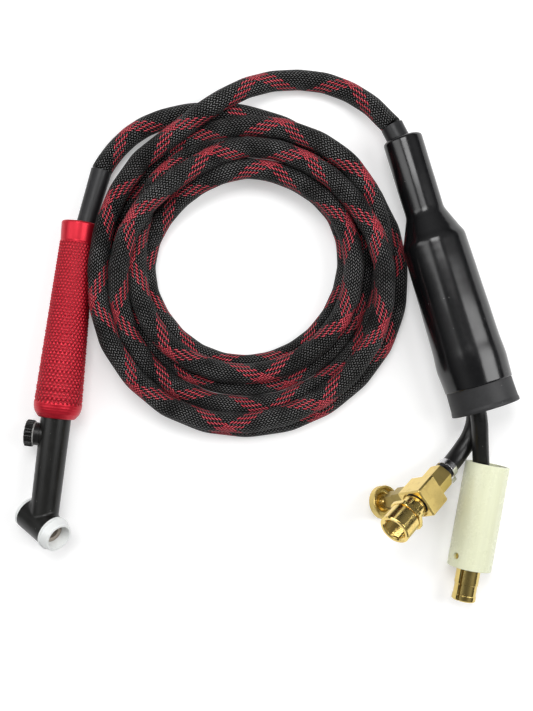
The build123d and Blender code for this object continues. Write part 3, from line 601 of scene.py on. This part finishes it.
# Radius and height at each twelfth of a turn, clockwise from the far side, beyond the torch lead
turn_steps = 12
turn_places = [
    (0.1057, 0.0072), (0.0965, 0.0072), (0.0895, 0.0072), (0.0873, 0.0072),
    (0.0845, 0.0072), (0.0829, 0.0072), (0.0840, 0.0072), (0.0845, 0.0072),
    (0.0858, 0.0072), (0.0880, 0.0072), (0.0830, 0.0072), (0.0755, 0.0072),
    (0.0700, 0.0072), (0.0700, 0.0072), (0.0730, 0.0072), (0.0719, 0.0072),
    (0.0703, 0.0072), (0.0692, 0.0072), (0.0699, 0.0072), (0.0710, 0.0072),
    (0.0719, 0.0072), (0.0733, 0.0075), (0.0701, 0.0140), (0.0686, 0.0200),
    (0.0686, 0.0205), (0.0690, 0.0205), (0.0729, 0.0210), (0.0744, 0.0205),
    (0.0740, 0.0200), (0.0736, 0.0200), (0.0744, 0.0200), (0.0758, 0.0200),
    (0.0773, 0.0200), (0.0775, 0.0205), (0.0820, 0.0190), (0.0855, 0.0100),
    (0.0850, 0.0072), (0.0895, 0.0160), (0.0990, 0.0160), (0.1033, 0.0085),
    (0.1077, 0.0072), (0.1108, 0.0072), (0.1120, 0.0072), (0.1125, 0.0072),
    (0.1090, 0.0072), (0.1025, 0.0072), (0.0962, 0.0080), (0.0962, 0.0165),
    (0.0990, 0.0180), (0.0966, 0.0280), (0.0970, 0.0270), (0.0955, 0.0195),
    (0.0961, 0.0150), (0.0970, 0.0085), (0.0984, 0.0072), (0.0985, 0.0072),
    (0.0943, 0.0170), (0.0858, 0.0310), (0.0800, 0.0320), (0.0762, 0.0310),
    (0.0816, 0.0230), (0.0830, 0.0310), (0.0880, 0.0340), (0.0950, 0.0320),
    (0.1010, 0.0285), (0.1056, 0.0205), (0.1094, 0.0210), (0.1118, 0.0213),
    (0.1083, 0.0213), (0.1027, 0.0214), (0.1018, 0.0205), (0.1050, 0.0215),
]


def coil_turns(points_per_turn):
    """Places of the coil: radius and height follow a cubic through the given twelfths.

    At a share p between two of them it is half of 2 here + slope p + bend p^2 + twist p^3, and a
    place is the centre plus the radius in the direction of its angle.
    """
    given = np.array(turn_places)
    count = (len(given) - 1) * points_per_turn // turn_steps
    share = np.arange(1, count) / points_per_turn * turn_steps
    index = np.clip(share.astype(int), 0, len(given) - 2)
    part = (share - index)[:, None]
    before = given[np.maximum(index - 1, 0)]
    after = given[np.minimum(index + 2, len(given) - 1)]
    here, there = given[index], given[index + 1]
    slope = there - before
    bend = 2 * before - 5 * here + 4 * there - after
    twist = 3 * here - before - 3 * there + after
    radius, height = (0.5 * (2 * here + slope * part + bend * part**2 + twist * part**3)).T
    angle = share * 2 * math.pi / turn_steps
    across = coil_centre[0] + radius * np.sin(angle)
    away = coil_centre[1] + radius * np.cos(angle)
    return np.stack([across, away, height], 1)


def evened(places, step):
    """The same line with points at even steps."""
    lengths = np.linalg.norm(np.diff(places, axis=0), axis=1)
    distance = np.concatenate([[0], np.cumsum(lengths)])
    wanted = np.linspace(0, distance[-1], int(distance[-1] / step) + 1)
    return np.stack([np.interp(wanted, distance, places[:, part]) for part in range(3)], 1)


def settled(places, diameter, held, rounds):
    """Lets the turns settle: crossing strands part by a diameter, and all sink to what is below.

    Each round adds a share of every pair's overlap to both points, a pull back to the given plan,
    a small drop, and a smoothing of the move along the line, which stands for the cable's
    stiffness. Points closer than held along the line don't push, and the ends stay in place.
    """
    plan = places * (1, 1, 0)
    push_share, keep, drop = 0.30, (0.93, 0.93, 1), (0, 0, 0.00012)
    stiffness = np.array([1, 6, 15, 20, 15, 6, 1]) / 64
    count = len(places)
    number = np.arange(count)
    apart = np.abs(number[:, None] - number[None, :]) > held
    ease = np.clip(np.minimum(number, count - 1 - number) / held, 0, 1)[:, None]
    for _ in range(rounds):
        offset = places[:, None] - places[None, :]
        distance = np.sqrt((offset**2).sum(-1)) + 1e-9
        overlap = np.where(apart & (distance < diameter), diameter - distance, 0)
        push = (offset * (overlap / distance)[..., None]).sum(1) * push_share
        move = (places - plan + push) * keep - drop
        wide = np.pad(move, ((3, 3), (0, 0)), mode="edge")
        move = sum(part * wide[shift:shift + count] for shift, part in enumerate(stiffness))
        places = places + (plan + move - places) * ease
        places[:, 2] = np.maximum(places[:, 2], diameter * 0.5)
    return places


def cable_route(diameter):
    """The whole cable's control points, from the torch boot through the coil to the junction."""
    plan = np.concatenate([np.array(torch_lead), coil_turns(24), np.array(junction_lead)])
    point_gap, held, spare = 0.0064, 14, 1.01
    plan = evened(plan, point_gap)
    return settled(plan, diameter * spare, held, 260)


def spline_points(places, name):
    """The points of one smooth spline through the route, read from its unbevelled curve."""
    curve = bpy.data.curves.new(name, "CURVE")
    curve.dimensions = "3D"
    curve.resolution_u = 3
    spline = curve.splines.new("NURBS")
    spline.points.add(len(places) - 1)
    spline.points.foreach_set("co", np.column_stack([places, np.ones(len(places))]).reshape(-1))
    spline.order_u = 3
    spline.use_endpoint_u = True
    line = bpy.data.objects.new(name, curve)
    bpy.context.scene.collection.objects.link(line)
    mesh = bpy.data.meshes.new_from_object(line)
    flat = np.empty(len(mesh.vertices) * 3)
    mesh.vertices.foreach_get("co", flat)
    bpy.data.objects.remove(line)
    bpy.data.curves.remove(curve)
    bpy.data.meshes.remove(mesh)
    return flat.reshape(-1, 3)


def tube_piece(name, path, radius, columns):
    """A closed round tube along a path.

    Each ring stands square to the path, and its first direction is carried along without turning:
    the last one, less its part along the new direction. Its ends close on their own centres.
    """
    ahead = np.gradient(path, axis=0)
    ahead /= np.linalg.norm(ahead, axis=1)[:, None]
    side = np.empty_like(path)
    current = np.cross(ahead[0], (0, 0, 1))
    for index, way in enumerate(ahead):
        current = current - way * (current @ way)
        current /= np.linalg.norm(current)
        side[index] = current
    other = np.cross(ahead, side)
    angle = np.arange(columns)[None, :, None] / columns * 2 * math.pi
    rings = radius * (np.cos(angle) * side[:, None] + np.sin(angle) * other[:, None])
    places = np.vstack([(path[:, None] + rings).reshape(-1, 3), path[0], path[-1]])
    rows = len(path)
    length = np.concatenate([[0], np.cumsum(np.linalg.norm(np.diff(path, axis=0), axis=1))])
    near = np.arange(columns)
    beside = (near + 1) % columns
    last_row, centre = (rows - 1) * columns, rows * columns
    faces = ring_faces(rows, columns, False).tolist()
    for cap in ((beside, near, centre), (last_row + near, last_row + beside, centre + 1)):
        faces += np.stack(np.broadcast_arrays(*cap), 1).tolist()
    around = ring_uv(rows, columns, length, False).reshape(-1, 2)
    around = np.concatenate([around, np.zeros((2 * columns * 3, 2))])
    return mesh_object(name, places, faces, around)


# ---------------------------------------------------------------- values that a user would change


class TorchLook(bpy.types.PropertyGroup):
    """Sizes and colours of the torch and the grip."""

    grip_colour: bpy.props.FloatVectorProperty(
        name="Grip colour", description="Colour of the anodised grip", subtype="COLOR",
        default=(0.52, 0.010, 0.026), min=0, max=1,
    )
    knurl_count: bpy.props.IntProperty(
        name="Knurl grooves", description="Grooves round the grip in each direction",
        default=32, min=8,
    )
    knurl_depth: bpy.props.FloatProperty(
        name="Knurl depth", description="Depth of the grip's knurl", default=0.00075,
        unit="LENGTH", precision=5, min=0,
    )
    knurl_angle: bpy.props.FloatProperty(
        name="Knurl angle", description="Angle of the grooves to the grip's axis",
        default=math.radians(38), subtype="ANGLE",
    )


class CableLook(bpy.types.PropertyGroup):
    """Sizes of the braided cable."""

    diameter: bpy.props.FloatProperty(
        name="Cable diameter", description="Outer diameter of the braid", default=0.0143,
        unit="LENGTH", precision=4, min=0.004,
    )
    carriers: bpy.props.IntProperty(
        name="Carriers", description="Carriers of the braid in each direction", default=28, min=8,
    )
    pitch: bpy.props.FloatProperty(
        name="Braid pitch", description="Length of one turn of a carrier", default=0.067,
        unit="LENGTH", min=0.01,
    )
    band: bpy.props.IntProperty(
        name="Tracer carriers", description="Red carriers side by side in each direction",
        default=6, min=0,
    )


class SleeveLook(bpy.types.PropertyGroup):
    """Finish of the junction sleeve."""

    waviness: bpy.props.FloatProperty(
        name="Waviness", description="Depth of the sleeve's shrink waves", default=0.00010,
        unit="LENGTH", precision=5, min=0,
    )


class BrassLook(bpy.types.PropertyGroup):
    """Colours of the brass pieces and the pin's insulator."""

    brass_colour: bpy.props.FloatVectorProperty(
        name="Brass colour", description="Colour of clean brass", subtype="COLOR",
        default=(0.80, 0.61, 0.21), min=0, max=1,
    )
    insulator_colour: bpy.props.FloatVectorProperty(
        name="Insulator colour", description="Colour of the pin's insulating sleeve",
        subtype="COLOR", default=(0.78, 0.80, 0.58), min=0, max=1,
    )


class StageLook(bpy.types.PropertyGroup):
    """The light on the stage."""

    key_power: bpy.props.FloatProperty(
        name="Lamp power", description="Power that the three area lights share", default=14.5,
        subtype="POWER", min=0,
    )
    world_strength: bpy.props.FloatProperty(
        name="Room light", description="Strength of the light from all round", default=0.22, min=0,
    )


# ---------------------------------------------------------------- operators


class TORCHSET_OT_stage(bpy.types.Operator):
    """Sets up the floor, the lights and the camera"""

    bl_idname = "torch_set.stage"
    bl_label = "Set the stage"

    def execute(self, context):
        context.scene.view_settings.view_transform = "Standard"
        self.camera(context.scene)
        self.floor()
        self.room(context.scene)
        self.lamps(context.scene)
        return {"FINISHED"}

    def camera(self, scene):
        """A camera straight above the set."""
        data = bpy.data.cameras.new("camera")
        data.sensor_width = 36.0
        data.lens = 53.4
        data.clip_start = 0.01
        eye = bpy.data.objects.new("camera", data)
        eye.location = (0.0024, 0.0044, 0.750)
        scene.collection.objects.link(eye)
        scene.camera = eye

    def floor(self):
        """A wide pale floor that shows white where no shadow falls, also far from the lights."""
        side = 9.0
        places = side * np.array([(-1, -1, 0), (1, -1, 0), (1, 1, 0), (-1, 1, 0)])
        floor = mesh_object("floor", places, [(0, 1, 2, 3)], smooth=False)
        material, tree, inputs = new_material("pale floor")
        tint = tree.noise(object_place(tree), 3.0, 2.0)
        pale = tree.mix(tint, (0.78, 0.78, 0.78, 1), (0.80, 0.80, 0.80, 1))
        tree.feed(inputs["Base Color"], pale)
        inputs["Roughness"].default_value = 0.8
        inputs["Specular IOR Level"].default_value = 0.1
        seen = tree.node("ShaderNodeLightPath").outputs
        direct = tree.sum("ADD", seen["Is Camera Ray"], seen["Is Glossy Ray"])
        direct = tree.sum("ADD", direct, seen["Is Transmission Ray"], clamp=True)
        away = tree.node("ShaderNodeVectorMath", operation="LENGTH")
        tree.feed(away.inputs[0], object_place(tree))
        glow = tree.span(away.outputs["Value"], 0.35, 1.6, 0.34, 1.0)
        tree.feed(inputs["Emission Strength"], tree.sum("MULTIPLY", direct, glow))
        inputs["Emission Color"].default_value = (1, 1, 1, 1)
        floor.data.materials.append(material)
        floor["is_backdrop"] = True

    def room(self, scene):
        """Light from all round: brightest half way up, dim at the sides, and white when seen."""
        world = bpy.data.worlds.new("room")
        world.use_nodes = True
        tree = Tree(world.node_tree)
        way = tree.node("ShaderNodeSeparateXYZ")
        tree.feed(way.inputs[0], tree.node("ShaderNodeTexCoord").outputs["Generated"])
        rising = tree.span(way.outputs[2], 0.10, 0.60, 0.10, 1.75)
        overhead = tree.span(way.outputs[2], 0.72, 0.98, 0.0, 1.05)
        glow = tree.sum("SUBTRACT", rising, overhead)
        shade = world.node_tree.nodes["Background"]
        grey = tree.node("ShaderNodeCombineColor")
        for socket in grey.inputs[:3]:
            tree.feed(socket, glow)
        tree.feed(shade.inputs["Color"], grey.outputs[0])
        shade.inputs["Strength"].default_value = scene.stage_look.world_strength
        white = tree.node("ShaderNodeBackground")
        white.inputs["Color"].default_value = (1, 1, 1, 1)
        both = tree.node("ShaderNodeMixShader")
        tree.feed(both.inputs[0], tree.node("ShaderNodeLightPath").outputs["Is Camera Ray"])
        tree.feed(both.inputs[1], shade.outputs[0])
        tree.feed(both.inputs[2], white.outputs[0])
        tree.feed(world.node_tree.nodes["World Output"].inputs["Surface"], both.outputs[0])
        scene.world = world

    def lamps(self, scene):
        """A large light at each side and one from the far side."""
        power = scene.stage_look.key_power
        self.lamp(scene, "right light", (0.85, 0.12, 0.80), (0.45, 0.9), power * 0.52)
        self.lamp(scene, "left light", (-0.85, 0.18, 0.80), (0.45, 0.9), power * 0.24)
        self.lamp(scene, "far light", (-0.10, 0.50, 1.20), (0.6, 0.5), power * 0.52)

    def lamp(self, scene, name, place, size, power):
        """One area light that faces the middle of the set."""
        data = bpy.data.lights.new(name, "AREA")
        data.shape = "RECTANGLE"
        data.size, data.size_y = size
        data.energy = power
        lamp = bpy.data.objects.new(name, data)
        lamp.location = place
        lamp.rotation_euler = Vector(place).to_track_quat("Z", "Y").to_euler()
        scene.collection.objects.link(lamp)


class TORCHSET_OT_cable(bpy.types.Operator):
    """Lays the braided cable through its coil and leads"""

    bl_idname = "torch_set.cable"
    bl_label = "Lay the braided cable"

    def execute(self, context):
        look = context.scene.cable_look
        path = spline_points(cable_route(look.diameter), "cable line")
        columns = 40
        cable = tube_piece("braided_cable", path, look.diameter / 2, columns)
        dressed(
            cable, "torch_set", "braid", braid_finish(look),
            "cable_torch_lead", "cable_coil", "cable_junction_lead",
        )
        return {"FINISHED"}


class TORCHSET_OT_grip(bpy.types.Operator):
    """Makes the knurled grip: the radius drops by the depth in grooves wound both ways"""

    bl_idname = "torch_set.grip"
    bl_label = "Make the knurled grip"

    def execute(self, context):
        look = context.scene.torch_look
        axis = axis_of("grip", (0, -1, 0))
        along, radius = outer_profile("grip", axis)
        step = 0.00042
        fine, outside = fine_profile(along, radius, step, 0.0006)
        columns = 228
        angle = np.arange(columns) / columns
        lead = 2 * math.pi * radius.max() / math.tan(look.knurl_angle)
        phase = look.knurl_count * angle[None, :]
        slope = look.knurl_count * (fine / lead)[:, None]
        grooves = [np.abs((phase + sign * slope) % 1 - 0.5) * 2 for sign in (1, -1)]
        ridge = np.clip(1.25 - np.maximum(*grooves) * 1.25, 0, 1)
        collar, nose_share, fade_length, flare = 0.013, 0.9275, 0.001, 0.0008
        start, end = along[along > collar][0] + 0.0006, nose_share * along[-1]
        inside = np.minimum(fine - start, end - fine)
        fade = np.clip(inside / fade_length, 0, 1)
        cut = look.knurl_depth * (ridge - 1) * fade[:, None]
        cut = cut + (flare * np.clip(1 - fine / start, 0, 1) ** 0.7)[:, None]
        bore = bore_radius("grip", axis)
        inner = np.linspace(fine[-1], fine[0], 24)
        loop_along = np.concatenate([fine, inner])
        loop_radius = np.concatenate([outside, np.full(len(inner), bore)])
        shift = np.vstack([cut, np.zeros((len(inner), columns))])
        grip = turned_piece("knurled_grip", axis, loop_along, loop_radius, columns, shift)
        plain = 0.6
        height = ridge * fade[:, None] + (1 - fade[:, None]) * plain
        height = np.vstack([height, np.full((len(inner), columns), plain)])
        # the ridge height also sets the grip's painted groove shade and its pale ridges of wear and
        # painted highlight
        layer = grip.data.attributes.new("ridge", "FLOAT", "POINT")
        layer.data.foreach_set("value", height.reshape(-1))
        dressed(grip, "torch_set", "grip_red", anodised_finish(tuple(look.grip_colour)), "grip")
        return {"FINISHED"}


class TORCHSET_OT_boss(bpy.types.Operator):
    """Makes the round boss and the pale washer behind the valve knob"""

    bl_idname = "torch_set.boss"
    bl_label = "Make the valve boss"

    def execute(self, context):
        axis = Axis(*turn_axis("torch_valve_turn"))
        local = axis.local(corners("gas_valve_knob"))
        wide = float(np.hypot(local[:, 0], local[:, 1]).max())
        face = float(local[:, 2].min())
        rubber = rubber_finish("boss rubber", (0.004, 0.004, 0.004), 0.34, 0.12)
        boss = self.ring("valve_boss", axis, face - 0.0052, face - 0.0011, wide - 0.0014)
        dressed(boss, "torch_set", "moulding_black", rubber)
        washer = self.ring("valve_washer", axis, face - 0.0012, face - 0.0002, wide - 0.0010)
        pale = ceramic_finish("pale washer", (0.30, 0.30, 0.29), 0.4)
        dressed(washer, "torch_set", "moulding_black", pale)
        return {"FINISHED"}

    def ring(self, name, axis, start, end, radius):
        """A round ring with small chamfers."""
        edge, bore = 0.0003, 0.0040
        profile = [
            (start, bore), (start, radius - edge), (start + edge, radius),
            (end - edge, radius), (end, radius - edge), (end, bore),
        ]
        along, across = np.array(profile).T
        piece = turned_piece(name, axis, along, across, 72)
        piece.data.set_sharp_from_angle(angle=math.radians(30))
        return piece


class TORCHSET_OT_sleeve(bpy.types.Operator):
    """Makes the glossy shrink sleeve of the junction"""

    bl_idname = "torch_set.sleeve"
    bl_label = "Make the junction sleeve"

    def execute(self, context):
        look = context.scene.sleeve_look
        axis = axis_of("junction_sleeve", (0, -1, 0))
        along, radius = outer_profile("junction_sleeve", axis)
        fine, outside = fine_profile(along, radius, 0.0012, 0.0035)
        crisp = np.clip((fine - fine[0] - 0.005) / 0.003, 0, 1)
        outside = outside * crisp + np.interp(fine, along, radius) * (1 - crisp)
        outside[0] -= 0.0003
        columns = 128
        angle = np.arange(columns)[None, :] / columns * 2 * math.pi
        place = fine[:, None]
        wave = (
            np.sin(place * 210 + 1.3 * np.sin(angle)) * 0.35
            + np.sin(place * 67 + 2.1 * np.cos(angle + 0.6)) * 0.45
            + np.sin(2 * angle + place * 41) * 0.4 + np.sin(3 * angle - place * 90) * 0.25
        )
        bulge_place, bulge_reach = fine[-1] - 0.0135, 0.0085
        low = np.exp(-(((bulge_place - place) / bulge_reach) ** 2))
        shift = look.waviness * (wave - 1.2) * (1 + 3.2 * low)
        wall = 0.0016
        inner = fine[::-4]
        loop_along = np.concatenate([fine, inner])
        loop_radius = np.concatenate([outside, np.interp(inner, along, radius) - wall])
        shift = np.vstack([shift, np.zeros((len(inner), columns))])
        sleeve = turned_piece("shrink_sleeve", axis, loop_along, loop_radius, columns, shift)
        finish = gloss_finish("gloss shrink sleeve", (0.003, 0.003, 0.0035))
        dressed(sleeve, "torch_set", "sleeve_black", finish, "junction_sleeve")
        return {"FINISHED"}


class TORCHSET_OT_outlet(bpy.types.Operator):
    """Makes the swivelling outlet with its internal thread"""

    bl_idname = "torch_set.outlet"
    bl_label = "Make the gas outlet"

    def execute(self, context):
        brass = tuple(context.scene.brass_look.brass_colour)
        place, way = hole("gas_outlet_thread")
        axis = Axis(place, way)
        local = axis.local(corners("outlet_coupling"))
        end = local[:, 2].max()
        hexagon = self.hex_band(axis, local)
        body = self.threaded_body(axis, local, end)
        finish = metal_finish("turned brass", brass, (0.45, 0.27, 0.09), 0.16, way)
        dressed(body, "outlet_swivel", "brass", finish, "outlet_coupling")
        dressed(hexagon, "outlet_swivel", "brass", finish)
        return {"FINISHED"}

    def threaded_body(self, axis, local, end):
        """The turned body: neck, mouth, and a bore whose radius waves along a helix."""
        radius = np.hypot(local[:, 0], local[:, 1])
        mouth = radius[local[:, 2] > end - 0.003].max()
        behind = local[radius > radius.max() - 0.0002, 2].max() + 0.0004
        tail = local[:, 2].min()
        face, neck, bore, deep = tail + 0.0051, 0.0085, 0.0075, end - 0.0140
        outside = [
            (tail, 0.0062), (face, 0.0062), (face, neck - 0.0004), (face + 0.0004, neck),
            (face + 0.0014, neck), (face + 0.0016, neck - 0.0005), (face + 0.0022, neck - 0.0005),
            (face + 0.0024, neck), (behind, neck), (behind, mouth - 0.0005),
            (behind + 0.0005, mouth), (end - 0.0007, mouth), (end, mouth - 0.0007),
        ]
        outside_along, outside_radius = np.array(outside).T
        thread_along = np.linspace(end, deep, 120)
        inside = np.full(120, bore)
        inside[:9] = np.linspace(bore + 0.0011, bore, 9)
        low_along = np.linspace(deep, tail, 6)
        loop_along = np.concatenate([outside_along, thread_along, low_along])
        low_radius = np.full(6, 0.003)
        loop_radius = np.concatenate([outside_radius, inside, low_radius])
        columns = 96
        turn = np.arange(columns)[None, :] / columns
        pitch = 0.00135
        saw = np.abs(((thread_along[:, None] / pitch + turn) % 1) - 0.5) * 2
        fade = np.clip((end - 0.0012 - thread_along) / 0.0008, 0, 1)[:, None]
        cut = 0.00065 * (1 - saw) * fade
        shift = np.vstack([np.zeros((len(outside), columns)), cut, np.zeros((6, columns))])
        piece = turned_piece("outlet_coupling", axis, loop_along, loop_radius, columns, shift)
        piece.data.set_sharp_from_angle(angle=math.radians(35))
        return piece

    def hex_band(self, axis, local):
        """The thin hexagon: its radius at each angle is the flat's distance over its cosine."""
        radius = np.hypot(local[:, 0], local[:, 1])
        widest = radius.max() + 0.0004
        rim = local[radius > radius.max() - 0.0002]
        turn = math.atan2(rim[0, 1], rim[0, 0])
        low, high = rim[:, 2].min() - 0.0004, rim[:, 2].max() + 0.0004
        flat = 0.0110
        columns = 96
        angle = np.arange(columns) / columns * 2 * math.pi
        sector = (angle - turn) % (math.pi / 3) - math.pi / 6
        hexagon = flat / np.cos(sector)
        face = np.minimum(hexagon, widest - 0.0009)
        side = np.minimum(hexagon, widest - 0.0001)
        bore = np.full(columns, 0.0080)
        along = np.array([low, low + 0.0004, high - 0.0004, high, high, low])
        shift = np.stack([face, side, side, face, bore, bore])
        piece = turned_piece("outlet_hexagon", axis, along, np.zeros(len(along)), columns, shift)
        piece.data.set_sharp_from_angle(angle=math.radians(25))
        return piece


class TORCHSET_OT_handwheel(bpy.types.Operator):
    """Makes the handwheel with its knurled rim"""

    bl_idname = "torch_set.handwheel"
    bl_label = "Make the handwheel"

    def execute(self, context):
        brass = tuple(context.scene.brass_look.brass_colour)
        place, way = turn_axis("shut_off_turn")
        axis = Axis(place, way)
        local = axis.local(corners("handwheel"))
        radius = np.hypot(local[:, 0], local[:, 1])
        rim, end = radius.max(), local[:, 2].max()
        low = local[:, 2].min()
        steps = np.linspace(low + 0.0006, end - 0.0008, 26)
        bore = 0.00225
        profile = (
            [(low, rim - 0.0018), (low, rim - 0.0006)] + [(step, rim) for step in steps]
            + [(end, rim - 0.0008), (end, rim - 0.003)]
            + [(end - 0.0002, rim - 0.0034), (end - 0.0002, bore)]
            + [(low + 0.0002, bore), (low + 0.0002, 0.0030), (low + 0.0006, 0.0034)]
            + [(low + 0.0006, 0.0041), (low + 0.0016, 0.0045), (low + 0.0016, 0.0053)]
            + [(end - 0.0022, 0.0056), (end - 0.0013, 0.0066), (end - 0.0013, 0.0086)]
            + [(end - 0.0022, rim - 0.0022), (low + 0.0012, rim - 0.0020)]
        )
        along, across = np.array(profile).T
        columns = 240
        turn = np.arange(columns)[None, :] / columns
        count = 62
        slope = steps[:, None] / (2 * math.pi * rim) * count
        saw = [np.abs((turn * count + sign * slope) % 1 - 0.5) * 2 for sign in (1, -1)]
        cut = -0.00035 * np.maximum(*saw)
        shift = np.zeros((len(profile), columns))
        shift[2:2 + len(steps)] = cut
        wheel = turned_piece("handwheel_rim", axis, along, across, columns, shift)
        wheel.data.set_sharp_from_angle(angle=math.radians(42))
        worn = tuple(part * 0.92 for part in brass)
        finish = metal_finish("knurled brass", worn, (0.40, 0.24, 0.08), 0.26)
        dressed(wheel, "shut_off_wheel", "brass", finish, "handwheel")
        return {"FINISHED"}


class TORCHSET_OT_solids(bpy.types.Operator):
    """Gives the solids their finishes"""

    bl_idname = "torch_set.solids"
    bl_label = "Finish the solids"

    # Name, tone, roughness, share of dust, nodes
    rubbers = [
        ("moulded black rubber", (0.0035, 0.0035, 0.003), 0.32, 0.16, ["torch_moulding"]),
        ("black knob plastic", (0.004, 0.004, 0.004), 0.26, 0.04, ["gas_valve_knob"]),
        ("shrink boot", (0.012, 0.012, 0.013), 0.42, 0.08, ["cable_boot", "entry_collar"]),
        ("cap rubber", (0.016, 0.016, 0.017), 0.5, 0.12, ["end_cap"]),
        (
            "hose rubber", (0.005, 0.005, 0.005), 0.32, 0.08,
            ["gas_hose", "power_lead", "cable_core", "cable_splice"],
        ),
        (
            "seal rubber", (0.008, 0.008, 0.008), 0.5, 0.02,
            ["gas_valve_oring", "stem_packing", "swivel_seal", "entry_bush"],
        ),
    ]
    # Name, tone, tarnish, roughness, nodes
    metals = [
        ("grey head metal", (0.50, 0.45, 0.40), (0.38, 0.33, 0.29), 0.7, ["head_core"]),
        ("copper", (0.80, 0.42, 0.26), (0.4, 0.2, 0.12), 0.3, ["neck_tube", "lead_conductors"]),
        (
            "bright steel", (0.72, 0.72, 0.73), (0.35, 0.35, 0.36), 0.2,
            ["hose_clamp", "knob_screw", "set_screws"],
        ),
    ]

    def execute(self, context):
        look = context.scene.brass_look
        for name, tone, rough, dust, nodes in self.rubbers:
            finish_solids(rubber_finish(name, tone, rough, dust), *nodes)
        white = ceramic_finish("white insulator", (0.84, 0.86, 0.85), 0.30)
        finish_solids(white, "front_insulator", "back_gasket")
        finish_solids(ceramic_finish("grey former", (0.25, 0.25, 0.26), 0.5), "junction_former")
        green, pin_axis = tuple(look.insulator_colour), Axis(*hole("power_pin"))
        green_finish = ceramic_finish("pale green insulator", green, 0.27, 0.1, pin_axis)
        finish_solids(green_finish, "pin_insulator")
        for name, tone, dark, rough, nodes in self.metals:
            finish_solids(metal_finish(name, tone, dark, rough), *nodes)
        self.brasses(tuple(look.brass_colour))
        return {"FINISHED"}

    def brasses(self, brass):
        """The brass solids: sawn, turned, darkened with painted shade, or hidden inside."""
        dark = (0.42, 0.24, 0.05)
        dull, shaded = (tuple(part * share for part in brass) for share in (0.8, 0.45))
        valve_way, pin_way = hole("gas_outlet_thread")[1], hole("power_pin")[1]
        sawn = metal_finish("sawn brass", brass, dark, 0.30, coarse=1.2)
        finish_solids(sawn, "valve_block", "inlet_nipple")
        turned = metal_finish("turned valve brass", brass, dark, 0.2, valve_way)
        finish_solids(turned, "shut_off_stem", "handwheel_nut", "insulator_screw")
        # painted shade: the bonnet and gland nut are brass at 0.45 of its tone to stand for shade;
        # their darker stain patches are tarnish
        shaded_finish = metal_finish("tarnished brass", shaded, (0.12, 0.06, 0.02), 0.32)
        finish_solids(shaded_finish, "stem_bonnet", "gland_nut")
        finish_solids(metal_finish("turned pin brass", dull, dark, 0.14, pin_way), "power_pin")
        finish_solids(
            metal_finish("inner brass", dull, dark, 0.3), "gas_valve_seat", "gas_valve_stem",
            "cable_union", "neck_fitting", "junction_block", "block_barb",
        )


class TORCHSET_PT_panel(bpy.types.Panel):
    """Lists the torch set's operators and values"""

    bl_idname = "TORCHSET_PT_panel"
    bl_label = "TIG torch"
    bl_space_type = "VIEW_3D"
    bl_region_type = "UI"
    bl_category = "TIG torch"

    def draw(self, context):
        layout = self.layout
        for name in looks:
            group = getattr(context.scene, name)
            box = layout.box()
            for value in group.__annotations__:
                box.prop(group, value)
        for operator in operators:
            layout.operator(operator.bl_idname)


looks = {
    "torch_look": TorchLook,
    "cable_look": CableLook,
    "sleeve_look": SleeveLook,
    "brass_look": BrassLook,
    "stage_look": StageLook,
}
operators = [
    TORCHSET_OT_stage,
    TORCHSET_OT_cable,
    TORCHSET_OT_grip,
    TORCHSET_OT_boss,
    TORCHSET_OT_sleeve,
    TORCHSET_OT_outlet,
    TORCHSET_OT_handwheel,
    TORCHSET_OT_solids,
]


def register():
    """Registers the values, the operators and the panel."""
    for name, group in looks.items():
        bpy.utils.register_class(group)
        setattr(bpy.types.Scene, name, bpy.props.PointerProperty(type=group))
    for operator in operators:
        bpy.utils.register_class(operator)
    bpy.utils.register_class(TORCHSET_PT_panel)


def unregister():
    """Takes them away again."""
    bpy.utils.unregister_class(TORCHSET_PT_panel)
    for operator in reversed(operators):
        bpy.utils.unregister_class(operator)
    for name, group in looks.items():
        delattr(bpy.types.Scene, name)
        bpy.utils.unregister_class(group)


def main():
    """Makes everything in order."""
    register()
    for operator in operators:
        group, name = operator.bl_idname.split(".")
        getattr(getattr(bpy.ops, group), name)()
    boxes = {"solids": solid_bounds, "dressed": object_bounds()}
    boxes = {key: [list(map(float, corner)) for corner in box] for key, box in boxes.items()}


if __name__ == "__main__":
    main()
